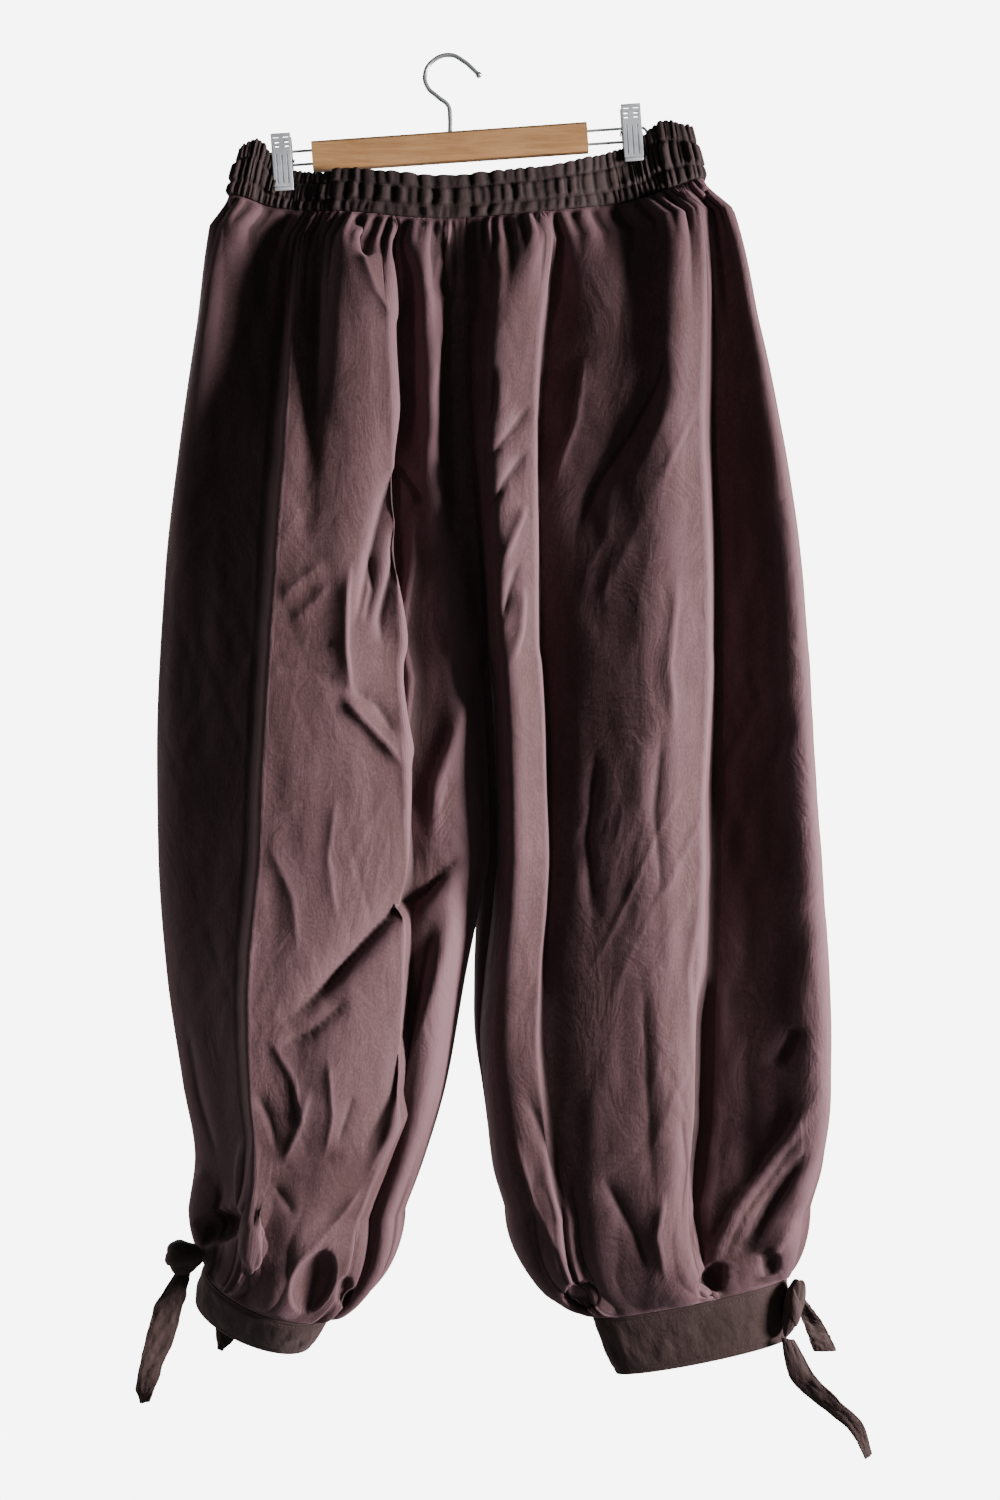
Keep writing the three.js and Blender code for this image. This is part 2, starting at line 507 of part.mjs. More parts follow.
// ---- knots and ties ----
// A flat ribbon along rows of { x, forward, drop, half, lean }: half its width, and the
// slope of its width line in degrees as seen from the front.
function tieGeometry(rows) {
  const face = (off) => rows.map(({ x, forward, drop, half, lean }) => [-1, 0, 1].map((side, i) => ({
    p: new THREE.Vector3(
      x + side * half * Math.cos(lean * degrees),
      -forward - off - (i === 1 ? 1.5 : 0),
      -drop + side * half * Math.sin(lean * degrees)),
    t: i / 2,
  })));
  return wallGeometry(face(tieThickness / 2), face(-tieThickness / 2));
}
const ties = {
  tie_left_long: [
    { x: -212.8, forward: 36, drop: 989.9, half: 6, lean: 12 },
    { x: -223.8, forward: 41, drop: 1012, half: 13, lean: 16 },
    { x: -232.8, forward: 40, drop: 1045, half: 12, lean: 14 },
    { x: -240.8, forward: 36, drop: 1070, half: 12, lean: 30 },
    { x: -244.8, forward: 32, drop: 1093, half: 4, lean: 20 },
  ],
  tie_left_short: [
    { x: -186, forward: 2, drop: 1004, half: 8, lean: -25 },
    { x: -180, forward: 0, drop: 1026, half: 12, lean: -25 },
    { x: -184, forward: -3, drop: 1046, half: 9, lean: -20 },
    { x: -189, forward: -5, drop: 1061, half: 2, lean: -15 },
  ],
  tie_right_long: [
    { x: 273, forward: 28, drop: 1042.4, half: 5, lean: -10 },
    { x: 283, forward: 32, drop: 1070, half: 9, lean: 20 },
    { x: 309, forward: 30, drop: 1096, half: 7, lean: 40 },
    { x: 329, forward: 26, drop: 1115, half: 6, lean: 45 },
    { x: 339, forward: 24, drop: 1139, half: 3, lean: 20 },
  ],
  tie_right_short: [
    { x: 281.2, forward: 15, drop: 1010, half: 6, lean: -20 },
    { x: 295, forward: 12, drop: 1032, half: 11, lean: -25 },
    { x: 306, forward: 9, drop: 1058, half: 9, lean: 0 },
  ],
};

const knots = {
  knot_left: { centre: [-212.6, -36, -975], half: [15, 10, 14], roll: -20 },
  knot_right: { centre: [277.6, -27.8, -1016], half: [8, 9, 24], roll: -14 },
};
function knotGeometry({ centre, half, roll }) {
  const geometry = new THREE.SphereGeometry(1, 12, 8);
  geometry.deleteAttribute("normal");
  geometry.deleteAttribute("uv");
  const place = geometry.attributes.position;
  for (let i = 0; i < place.count; i += 1) {
    const p = new THREE.Vector3().fromBufferAttribute(place, i);
    const pleat = 1 - 0.1 * Math.cos(3 * Math.atan2(p.x, p.z)) * (1 - p.y ** 2);
    p.multiplyScalar(pleat).multiply(new THREE.Vector3(...half));
    p.applyAxisAngle(new THREE.Vector3(0, 1, 0), -roll * degrees).add(new THREE.Vector3(...centre));
    place.setXYZ(i, p.x, p.y, p.z);
  }
  return facingOut(mergeVertices(geometry, 1e-4));
}

// ---- hanger ----
function asManifold(geometry) {
  const bare = new THREE.BufferGeometry();
  bare.setAttribute("position", geometry.attributes.position.clone());
  if (geometry.index) bare.setIndex(geometry.index.clone());
  const merged = mergeVertices(bare, 1e-4);
  return new wasm.Manifold(new wasm.Mesh({
    numProp: 3,
    vertProperties: Float32Array.from(merged.attributes.position.array),
    triVerts: Uint32Array.from(merged.index.array),
  }));
}
function fromManifold(solid) {
  const { vertProperties, triVerts } = solid.getMesh();
  const geometry = new THREE.BufferGeometry();
  geometry.setAttribute("position", new THREE.BufferAttribute(vertProperties, 3));
  geometry.setIndex(new THREE.BufferAttribute(triVerts, 1));
  return geometry;
}
const boxAt = (size, place) => new THREE.BoxGeometry(...size).translate(...place);

// The bar's section, with its long edges chamfered.
function barGeometry() {
  const { length, depth, height, chamfer } = barSize;
  const y = depth / 2, z = height / 2;
  const section = new THREE.Shape([
    [-y + 2, -z], [y - 2, -z], [y, -z + chamfer], [y, z - 2], [y - 2, z], [-y + 2, z], [-y, z - 2], [-y, -z + chamfer],
  ].map(([across, up]) => new THREE.Vector2(across, up)));
  const bar = new THREE.ExtrudeGeometry(section, { depth: length, bevelEnabled: false });
  bar.translate(0, 0, -length / 2);
  bar.rotateX(Math.PI / 2).rotateZ(Math.PI / 2);
  return bar;
}

// The hook: a stem out of the bar, a swan neck and a round crown, then a ball at the tip.
const hookRoute = [
  { x: 0, z: -61.5 }, { x: 0, z: -50 }, { x: -1.5, z: -40 }, { x: -10, z: -32.5 }, { x: -18.5, z: -24.5 },
  { x: -20.5, z: -14 }, { x: -14.5, z: -3.5 }, { x: 0, z: hookWireRadius }, { x: 11.5, z: -3.5 },
  { x: 18.5, z: -9.5 }, { x: 23.5, z: -14.5 },
];
function hookGeometry() {
  const route = new THREE.CatmullRomCurve3(hookRoute.map(({ x, z }) => new THREE.Vector3(x, 0, z)));
  const circle = new THREE.Shape();
  const sides = 8;
  for (let i = 0; i < sides; i += 1) {
    const angle = (i / sides) * 2 * Math.PI;
    const across = hookWireRadius * Math.cos(angle), up = hookWireRadius * Math.sin(angle);
    if (i === 0) circle.moveTo(across, up); else circle.lineTo(across, up);
  }
  const wire = new THREE.ExtrudeGeometry(circle, { steps: 24, extrudePath: route });
  const tip = hookRoute.at(-1);
  const ball = new THREE.SphereGeometry(hookBallRadius, 10, 7).translate(tip.x, 0, tip.z);
  return fromManifold(asManifold(wire).add(asManifold(ball)));
}

// A wire loop that slides in the bar's end: two runs and a round end, in the bar's frame.
function clipWireGeometry(outward, reach) {
  const start = barSize.length / 2 + seamGap, half = clipWireSpacing / 2;
  const loop = [
    [start, half], [start + 6, half], [reach - half, half], [reach - 1.6, half * 0.7], [reach, 0],
    [reach - 1.6, -half * 0.7], [reach - half, -half], [start + 6, -half], [start, -half],
  ].map(([x, z]) => new THREE.Vector3(outward * x, 0, z));
  const route = new THREE.CatmullRomCurve3(loop, false, "catmullrom", 0.2);
  const section = new THREE.Shape();
  [0, 1, 2, 3, 4, 5].forEach((i) => {
    const angle = (i / 6) * 2 * Math.PI;
    const x = clipWireRadius * Math.cos(angle), y = clipWireRadius * Math.sin(angle);
    if (i === 0) section.moveTo(x, y); else section.lineTo(x, y);
  });
  return new THREE.ExtrudeGeometry(section, { steps: 14, extrudePath: route });
}

// One clip plate with two columns of slots at the top and three grooves below them.
function clipPlateGeometry(facing) {
  const { width, height, thickness } = clipPlate;
  let plate = asManifold(boxAt([width, thickness, height], [0, 0, 0]));
  const cut = (size, place) => { plate = plate.subtract(asManifold(boxAt(size, place))); };
  const { rows, pitch, fromTop, across } = clipSlots;
  for (let row = 0; row < rows; row += 1) {
    for (const side of [-1, 1]) {
      cut([clipSlots.width, 2 * thickness, clipSlots.height], [side * across, 0, height / 2 - fromTop - pitch * row]);
    }
  }
  for (const side of [-1, 0, 1]) {
    cut([clipGrooves.width, clipGrooves.depth, clipGrooves.height],
      [side * clipGrooves.pitch, -facing * thickness / 2, -clipGrooves.lower]);
  }
  return fromManifold(plate);
}

// ---- the assembly ----
const pants = new THREE.Group();
const addMesh = (group, name, geometry, material) => {
  const mesh = new THREE.Mesh(geometry, material);
  mesh.name = name;
  group.add(mesh);
  return mesh;
};
addMesh(pants, "waistband_front", waistbandHalf(1), clothMaterial);
addMesh(pants, "waistband_back", waistbandHalf(-1), clothMaterial);
for (const [name, panel] of Object.entries(panels)) addMesh(pants, name, panelGeometry(panel), clothMaterial);
addMesh(pants, "cuff_left", cuffGeometry(cuffs.left), cuffMaterial);
addMesh(pants, "cuff_right", cuffGeometry(cuffs.right), cuffMaterial);
for (const [name, knot] of Object.entries(knots)) addMesh(pants, name, knotGeometry(knot), cuffMaterial);
for (const [name, rows] of Object.entries(ties)) addMesh(pants, name, tieGeometry(rows), cuffMaterial);

addMesh(pants, "hanger_hook", hookGeometry(), steelMaterial);
const hanger = new THREE.Group();
hanger.position.set(0, 0, -barSize.centreDrop);
hanger.rotation.y = -hangerTilt * degrees;
pants.add(hanger);
addMesh(hanger, "hanger_bar", barGeometry(), woodMaterial);
const clips = { left: { x: -137.5, reach: 150, lower: 4 }, right: { x: 149.5, reach: 162, lower: 0 } };
for (const [name, { x, reach, lower }] of Object.entries(clips)) {
  addMesh(hanger, `clip_wire_${name}`, clipWireGeometry(Math.sign(x), reach), steelMaterial);
  const away = clipPlate.halfGrip + clipPlate.thickness / 2;
  addMesh(hanger, `clip_front_${name}`, clipPlateGeometry(1), clipMaterial).position.set(x, -away, -lower);
  addMesh(hanger, `clip_back_${name}`, clipPlateGeometry(-1), clipMaterial).position.set(x, away, -lower);
  const block = [10, 2 * (clipPlate.halfGrip - seamGap), clipWireSpacing - 2 * (clipWireRadius + seamGap)];
  addMesh(hanger, `clip_spring_${name}`, boxAt(block, [0, 0, 0]), steelMaterial).position.set(x, 0, 0);
}

export default pants;
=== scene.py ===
# Balloon pants on a wooden clip hanger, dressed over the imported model.
# Tables are in millimetres as a maker would measure them: x from side to side, "drop" below
# the hook and "out" or "forward" in front of it. Meshes are in metres, front towards -Y.
import math
import bpy
import numpy as np
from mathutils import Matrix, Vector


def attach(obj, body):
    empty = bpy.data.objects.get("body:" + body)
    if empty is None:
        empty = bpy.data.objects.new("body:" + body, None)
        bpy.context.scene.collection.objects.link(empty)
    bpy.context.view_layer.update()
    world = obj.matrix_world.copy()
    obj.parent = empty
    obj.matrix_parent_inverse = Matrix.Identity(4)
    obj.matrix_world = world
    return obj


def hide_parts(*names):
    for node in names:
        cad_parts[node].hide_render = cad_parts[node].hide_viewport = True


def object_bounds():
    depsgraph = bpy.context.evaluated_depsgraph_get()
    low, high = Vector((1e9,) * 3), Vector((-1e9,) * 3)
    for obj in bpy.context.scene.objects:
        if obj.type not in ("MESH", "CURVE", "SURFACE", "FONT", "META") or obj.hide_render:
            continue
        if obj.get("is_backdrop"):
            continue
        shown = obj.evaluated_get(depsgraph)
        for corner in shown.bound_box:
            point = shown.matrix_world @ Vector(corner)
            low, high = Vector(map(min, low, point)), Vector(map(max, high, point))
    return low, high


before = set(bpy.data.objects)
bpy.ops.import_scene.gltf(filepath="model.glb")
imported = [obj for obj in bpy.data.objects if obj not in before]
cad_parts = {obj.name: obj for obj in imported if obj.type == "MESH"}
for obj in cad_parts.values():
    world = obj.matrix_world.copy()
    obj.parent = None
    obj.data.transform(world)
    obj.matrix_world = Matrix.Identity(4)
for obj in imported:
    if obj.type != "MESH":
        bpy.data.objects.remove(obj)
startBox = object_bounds()
print("frame loaded:", len(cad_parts), "solids")

mm = 0.001


def addObject(name, data):
    made = bpy.data.objects.new(name, data)
    bpy.context.collection.objects.link(made)
    return made


def addNode(tree, kind, inputs=None, **settings):  # a node with its settings, and values or links for its inputs
    node = tree.nodes.new(kind)
    for name, value in settings.items():
        setattr(node, name, value)
    for key, value in (inputs or {}).items():
        socket = node.inputs[key]
        if isinstance(value, bpy.types.NodeSocket):
            tree.links.new(value, socket)
        else:
            socket.default_value = value
    return node


# ---- camera, light and floor ----
cameraSetup = {
    "place": (0.041, -1.708, -0.568),  # level with the knees, a little right of the hook
    "lens": 50.0,
    "sensor": 36.0,
}
cameraData = bpy.data.cameras.new("camera")
cameraData.sensor_fit = "VERTICAL"
cameraData.sensor_height = cameraSetup["sensor"]
cameraData.lens = cameraSetup["lens"]
camera = addObject("camera", cameraData)
camera.location = cameraSetup["place"]
camera.rotation_euler = (math.radians(90), 0, 0)
bpy.context.scene.camera = camera

# place, size, watts and colour of each soft box, all aimed at the middle of the pants
softBoxes = {
    "windowRight": {"place": (2.35, -0.86, -0.45), "size": 0.6, "watts": 21, "colour": (1, 0.975, 0.985),
                    "spread": 46},
    "fillFront": {"place": (0.5, -2.6, 0.3), "size": 1.6, "watts": 4, "colour": (0.86, 1, 0.95)},
    "wallLeft": {"place": (-2.1, 0.62, -0.7), "size": 1.5, "watts": 16, "colour": (1, 0.93, 0.92)},
    "backRim": {"place": (-0.9, 2.0, 0.2), "size": 1.6, "watts": 30, "colour": (1, 1, 1)},
}
aimPoint = (0.02, 0.0, -0.60)
for name, box in softBoxes.items():
    lightData = bpy.data.lights.new(name, "AREA")
    lightData.shape = "SQUARE"
    lightData.size = box["size"]
    lightData.energy = box["watts"]
    lightData.color = box["colour"]
    lightData.spread = math.radians(box.get("spread", 180))
    light = addObject(name, lightData)
    light.location = box["place"]
    aim = np.array(aimPoint) - np.array(box["place"])
    light.rotation_euler = (math.atan2(math.hypot(aim[0], aim[1]), -aim[2]), 0, math.atan2(aim[0], -aim[1]) + math.pi)

world = bpy.data.worlds.new("paleStudio")
bpy.context.scene.world = world
world.use_nodes = True
sky = world.node_tree
sky.nodes.clear()
ray = addNode(sky, "ShaderNodeLightPath")
around = addNode(sky, "ShaderNodeBackground", {"Color": (0.80, 1, 0.96, 1), "Strength": 0.045})  # dim room light
seen = addNode(sky, "ShaderNodeBackground", {"Color": (1, 1, 1, 1), "Strength": 7.0})  # behind the pants
pick = addNode(sky, "ShaderNodeMixShader", {0: ray.outputs["Is Camera Ray"], 1: around.outputs[0],
               2: seen.outputs[0]})
addNode(sky, "ShaderNodeOutputWorld", {"Surface": pick.outputs[0]})

floorSize = {"radius": 1.25, "drop": 1.68, "thickness": 0.02}
bpy.ops.object.select_all(action="DESELECT")
bpy.ops.mesh.primitive_cylinder_add(vertices=96, radius=floorSize["radius"], depth=floorSize["thickness"],
                                    location=(0, 0, -floorSize["drop"]))
floor = bpy.context.object
floor.name = "floor"
bpy.ops.object.transform_apply(location=True, rotation=True, scale=True)
floor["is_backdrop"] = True
print("camera, lights and floor ready")


# ---- small tools ----
def clamp01(value):
    return np.clip(value, 0, 1)


def mix(a, b, share):
    return a + (b - a) * share


def ease(value):
    t = clamp01(value)
    return t * t * (3 - 2 * t)


def wave(turns):
    return np.sin(2 * math.pi * turns)


def runningSum(steps):
    return np.concatenate([[0], np.cumsum(steps)])


def through(places, values, at):  # a smooth curve through a table, which never overshoots
    places, values = np.asarray(places, float), np.asarray(values, float)
    at = np.clip(np.asarray(at, float), places[0], places[-1])
    slope = np.diff(values) / np.diff(places)
    tangent = np.empty(len(places))
    tangent[0], tangent[-1] = slope[0], slope[-1]
    before, after = slope[:-1], slope[1:]
    total = np.where(before + after == 0, 1, before + after)
    tangent[1:-1] = np.where(before * after <= 0, 0, 2 * before * after / total)
    i = np.clip(np.searchsorted(places, at, side="left") - 1, 0, len(places) - 2)
    step = places[i + 1] - places[i]
    t = (at - places[i]) / step
    rise = values[i + 1] - values[i]
    startBend, endBend = step * tangent[i] - rise, rise - step * tangent[i + 1]
    return values[i] + t * rise + t * (1 - t) * ((1 - t) * startBend + t * endBend)


def alongFolds(points, t):  # the rounded curve that a chain of points steers, t from 0 to 1
    segments = points.shape[-2] - 2
    place = np.minimum(clamp01(t) * segments, segments - 1e-9)
    i = np.floor(place).astype(int)
    u = (place - i)[..., None]
    middle = points[..., i + 1, :]
    start = np.where((i == 0)[..., None], points[..., i, :], (points[..., i, :] + middle) / 2)
    end = np.where((i == segments - 1)[..., None], points[..., i + 2, :], (middle + points[..., i + 2, :]) / 2)
    return start * (1 - u) ** 2 + middle * 2 * u * (1 - u) + end * u * u


def smoothNoise(x, y, seed):  # seeded value noise, -1 to 1, one lump a unit
    table = np.random.default_rng(seed).uniform(-1, 1, (64, 64))
    xi, yi = np.floor(x).astype(int), np.floor(y).astype(int)
    u, v = ease(x - xi), ease(y - yi)
    corner = lambda i, j: table[(xi + i) % 64, (yi + j) % 64]
    return mix(mix(corner(0, 0), corner(1, 0), u), mix(corner(0, 1), corner(1, 1), u), v)


def rowNormals(grid, flip):  # outward normals of a grid of points, rows by columns
    along, down = np.gradient(grid, axis=1), np.gradient(grid, axis=0)
    normal = np.cross(along, down) * flip
    return normal / np.maximum(np.linalg.norm(normal, axis=2, keepdims=True), 1e-9)


def addMesh(name, points, faces):  # points in millimetres
    mesh = bpy.data.meshes.new(name)
    mesh.from_pydata((np.array(points) * mm).tolist(), [], faces)
    return addObject(name, mesh)


def addGrid(name, grid, closed=False):  # a sheet of quads through rows of points, in millimetres
    rows, columns = grid.shape[:2]
    number = np.arange(rows * columns).reshape(rows, columns)
    if closed:
        number = np.hstack([number, number[:, :1]])
    faces = np.stack([number[:-1, :-1], number[:-1, 1:], number[1:, 1:], number[1:, :-1]], axis=-1).reshape(-1, 4)
    return addMesh(name, grid.reshape(-1, 3), faces.tolist())


def turnOut(piece, flip):  # reverses the faces of a sheet that was laid the other way round
    if flip:
        piece.data.flip_normals()
    piece.data.polygons.foreach_set("use_smooth", [True] * len(piece.data.polygons))


def layFlat(piece, across, down):  # a uv map in metres, so the weave keeps its size on the cloth
    across, down = np.broadcast_arrays(across, down)
    pairs = np.stack([across.reshape(-1), down.reshape(-1)], axis=1) * mm
    corners = np.empty(len(piece.data.loops), int)
    piece.data.loops.foreach_get("vertex_index", corners)
    layer = piece.data.uv_layers.new(name="cloth")
    layer.data.foreach_set("uv", pairs[corners].reshape(-1))


def markPoints(piece, name, values):  # a value on each point, for the material to read
    attribute = piece.data.attributes.new(name, "FLOAT", "POINT")
    attribute.data.foreach_set("value", np.asarray(values, float).reshape(-1))


def makeActive(piece):
    bpy.ops.object.select_all(action="DESELECT")
    piece.select_set(True)
    bpy.context.view_layer.objects.active = piece


def thicken(piece, thickness, offset=0.0):  # gives a sheet its cloth thickness, as a modifier that is applied
    makeActive(piece)
    wall = piece.modifiers.new("cloth wall", "SOLIDIFY")
    wall.thickness = thickness * mm
    wall.offset = offset
    wall.use_even_offset = False
    bpy.ops.object.modifier_apply(modifier=wall.name)


stitch = {  # a thread's share of the pitch to each side of its middle, its shoulders and how it stands on the cloth
    "pitch": 3.0, "reach": 0.36, "shoulders": (0.22, 0.78), "radius": 0.26, "raise": 0.2, "tipSink": 0.1,
    "sides": 5, "crest": 0.3,
}


def sewStitches(piece, track, outward):  # raised threads along a row of points, joined to the piece
    pitch, sides = stitch["pitch"], stitch["sides"]
    run = runningSum(np.linalg.norm(np.diff(track, axis=0), axis=1))
    middles = np.arange(pitch / 2, run[-1] - pitch / 2, pitch)
    at = lambda table, places: np.stack([np.interp(places, run, table[:, axis]) for axis in range(3)], axis=1)
    out = at(outward, middles)
    out /= np.linalg.norm(out, axis=1, keepdims=True)
    start, end = at(track, middles - stitch["reach"] * pitch), at(track, middles + stitch["reach"] * pitch)
    across = np.cross(out, end - start)
    across /= np.linalg.norm(across, axis=1, keepdims=True)
    points, faces = [], []
    for tip, far, up, side in zip(start, end, out, across):
        first = len(points)
        points += [tip - stitch["tipSink"] * up, far - stitch["tipSink"] * up]
        for share in stitch["shoulders"]:
            for i in range(sides):
                turn = 2 * math.pi * i / sides
                spoke = stitch["radius"] * (math.cos(turn) * up + math.sin(turn) * side)
                points.append(mix(tip, far, share) + spoke + stitch["raise"] * up)
        for i in range(sides):
            a, b = first + 2 + i, first + 2 + (i + 1) % sides
            faces += [(first, a, b), (a, a + sides, b + sides, b), (first + 1, b + sides, a + sides)]
    thread = addMesh("stitches", points, faces)
    turnOut(thread, False)
    markPoints(thread, "crest", np.full(len(points), stitch["crest"]))
    makeActive(piece)
    thread.select_set(True)
    bpy.ops.object.join()


# Below 0 this marks the valleys where the cloth material paints shade; above 0 the paler crests.
def crestsOf(grid, normal, reach):  # above 0 on ridges and below 0 in valleys, from the bend across the folds
    around = np.pad(grid, ((0, 0), (reach, reach), (0, 0)), mode="edge")
    mean = (around[:, :-2 * reach] + around[:, 2 * reach:]) / 2
    return np.sum((grid - mean) * normal, axis=2)


def distanceTo(line, x, drop):  # distance to a drawn line, its side (-1 left, 1 right) and the place along it
    best = np.full(x.shape, 1e9)
    side = np.zeros(x.shape)
    place = np.zeros(x.shape)
    done = 0.0
    for (x0, d0), (x1, d1) in zip(line[:-1], line[1:]):
        length = math.hypot(x1 - x0, d1 - d0)
        ux, ud = (x1 - x0) / length, (d1 - d0) / length
        run = np.clip((x - x0) * ux + (drop - d0) * ud, 0, length)
        gapX, gapD = x - x0 - run * ux, drop - d0 - run * ud
        gap = np.hypot(gapX, gapD)
        near = gap < best
        best = np.where(near, gap, best)
        side = np.where(near, np.sign(gapX * ud - gapD * ux), side)
        place = np.where(near, done + run, place)
        done += length
    return best, side, place, done


creaseForm = {"edge": 1.15, "fadeIn": 0.25, "fadeOut": 0.3}  # its crispness, and the shares of it that die away


def creaseHeight(crease, x, drop):  # how far one crease lifts (above 0) or sinks (below 0) the cloth
    height, left, right, *line = crease
    away, side, place, length = distanceTo(line, x, drop)
    width = np.where(side < 0, left, right)
    top, bottom = creaseForm["fadeIn"] * length, creaseForm["fadeOut"] * length
    ends = ease(place / top) * ease((length - place) / bottom)
    return height * ends * np.exp(-(away / width) ** creaseForm["edge"])


def hollowDepth(hollow, x, drop):  # an oval dent with a crisp rim: depth, half its size, lean in degrees, middle
    depth, halfAcross, halfDown, lean, middleX, middleDrop = hollow
    turn = math.radians(lean)
    u = ((x - middleX) * math.cos(turn) + (drop - middleDrop) * math.sin(turn)) / halfAcross
    v = ((drop - middleDrop) * math.cos(turn) - (x - middleX) * math.sin(turn)) / halfDown
    return -depth * clamp01(1 - u * u - v * v) ** 0.6


crumpleForm = {
    "patch": (64, 110),  # width and length of the crumpled patches
    "ridges": [(0.7, 0.5, 24, 110), (-0.5, -0.35, 20, 84), (0.25, 0.2, 10, 40)],  # height, slope, width and length
    "crisp": 2.2,
}


def crumples(x, drop, seed):  # thin winding ridges, crisp in some patches and calm between them
    wide, long = crumpleForm["patch"]
    patch = clamp01(0.2 + 1.2 * smoothNoise(x / wide, drop / long, seed))
    total = np.zeros_like(x)
    for shift, (height, slope, across, down) in enumerate(crumpleForm["ridges"], 1):
        noise = smoothNoise((x + slope * drop) / across, (drop - slope * x) / down, seed + shift)
        total += height * clamp01(1 - crumpleForm["crisp"] * np.abs(noise))
    return patch * total


# ---- finishes ----
def newGroup(name, inputs, outputs):
    tree = bpy.data.node_groups.new(name, "ShaderNodeTree")
    kinds = {"value": "NodeSocketFloat", "colour": "NodeSocketColor", "vector": "NodeSocketVector"}
    for socket, kind in inputs.items():
        tree.interface.new_socket(name=socket, in_out="INPUT", socket_type=kinds[kind])
    for socket, kind in outputs.items():
        tree.interface.new_socket(name=socket, in_out="OUTPUT", socket_type=kinds[kind])
    return tree, tree.nodes.new("NodeGroupInput"), tree.nodes.new("NodeGroupOutput")


def calculate(tree, operation, a, b=0.0, clamp=False):
    return addNode(tree, "ShaderNodeMath", {0: a, 1: b}, operation=operation, use_clamp=clamp).outputs[0]


def blendColours(tree, share, a, b, kind="MIX"):
    node = addNode(tree, "ShaderNodeMix", {0: share, 6: a, 7: b}, data_type="RGBA", blend_type=kind)
    return node.outputs[2]


def rescale(tree, value, low, high, toLow=0.0, toHigh=1.0):
    return addNode(tree, "ShaderNodeMapRange", {0: value, 1: low, 2: high, 3: toLow, 4: toHigh}).outputs[0]


def bumpOf(tree, height, strength, distance):
    return addNode(tree, "ShaderNodeBump", {"Height": height, "Strength": strength, "Distance": distance}).outputs[0]


def noiseOn(tree, vector, scale, detail, roughness=0.5, distortion=0.0):
    return addNode(tree, "ShaderNodeTexNoise", {"Vector": vector, "Scale": scale, "Detail": detail,
                   "Roughness": roughness, "Distortion": distortion}).outputs[0]


# Washed cloth: a fine plain weave, slubs, a mottled sand-washed bloom and paler crests, with painted shade darkening
# the valleys and the gaps between the threads.
def buildWashedCloth():
    tree, given, out = newGroup(
        "washed cloth",
        {"Base": "colour", "Bloom": "colour", "Painted shade": "colour", "Bloom amount": "value", "Crest amount": "value"},
        {"Colour": "colour", "Roughness": "value", "Height": "value"})
    place = addNode(tree, "ShaderNodeUVMap", uv_map="cloth").outputs[0]
    body = addNode(tree, "ShaderNodeTexCoord").outputs["Object"]
    crest = addNode(tree, "ShaderNodeAttribute", attribute_name="crest").outputs["Fac"]

    def cloudy(vector, scale, stretch, detail, distortion=0.0):
        squeeze = (1, 1, stretch) if vector is body else (1, stretch, 1)
        squeezed = addNode(tree, "ShaderNodeMapping", {"Vector": vector, "Scale": squeeze}).outputs[0]
        return noiseOn(tree, squeezed, scale, detail, 0.6, distortion)

    add = lambda a, b: calculate(tree, "ADD", a, b)
    times = lambda a, b: calculate(tree, "MULTIPLY", a, b)
    threads = lambda direction: addNode(tree, "ShaderNodeTexWave", {
        "Vector": place, "Scale": 430.0, "Distortion": 0.6, "Detail": 1.0},
        wave_type="BANDS", bands_direction=direction).outputs["Fac"]

    patches = cloudy(body, 7.0, 0.6, 4.0, 0.8)
    streaks = cloudy(place, 110.0, 0.35, 3.0)
    fuzz = cloudy(body, 620.0, 0.7, 2.0)
    slubs = cloudy(place, 420.0, 0.09, 2.0)
    rumples = cloudy(body, 24.0, 0.7, 3.0, 1.2)
    wrinkles = calculate(tree, "ABSOLUTE", calculate(tree, "SUBTRACT", rumples, 0.5))  # thin sharp valleys
    weave = times(threads("X"), threads("Y"))
    bloom = add(rescale(tree, patches, 0.35, 0.68), rescale(tree, streaks, 0.4, 0.75, 0.0, 0.3))
    bloom = add(bloom, rescale(tree, fuzz, 0.35, 0.7, -0.4, 0.4))
    bloom = add(bloom, rescale(tree, wrinkles, 0.0, 0.12, -0.12, 0.1))
    bloom = calculate(tree, "MULTIPLY", bloom, given.outputs["Bloom amount"], clamp=True)
    raised = calculate(tree, "MULTIPLY", rescale(tree, crest, 0.02, 0.5), given.outputs["Crest amount"], clamp=True)
    # painted shade: the valleys of the folds darken towards the shade colour
    paintedValleyShade = calculate(tree, "MULTIPLY", rescale(tree, crest, -0.02, -0.5), 0.55, clamp=True)
    colour = blendColours(tree, bloom, given.outputs["Base"], given.outputs["Bloom"])
    colour = blendColours(tree, raised, colour, given.outputs["Bloom"])
    colour = blendColours(tree, paintedValleyShade, colour, given.outputs["Painted shade"])
    # painted shade in the gaps between the threads of the weave
    colour = blendColours(tree, rescale(tree, weave, 0.0, 0.12, 0.16, 0.0), colour, given.outputs["Painted shade"])
    height = times(weave, 0.35)
    for texture, depth in ((slubs, 0.5), (fuzz, 0.7), (streaks, 0.8), (wrinkles, 7.0)):
        height = add(height, times(texture, depth))
    tree.links.new(colour, out.inputs["Colour"])
    tree.links.new(rescale(tree, bloom, 0.0, 1.0, 0.72, 0.9), out.inputs["Roughness"])
    tree.links.new(height, out.inputs["Height"])
    return tree


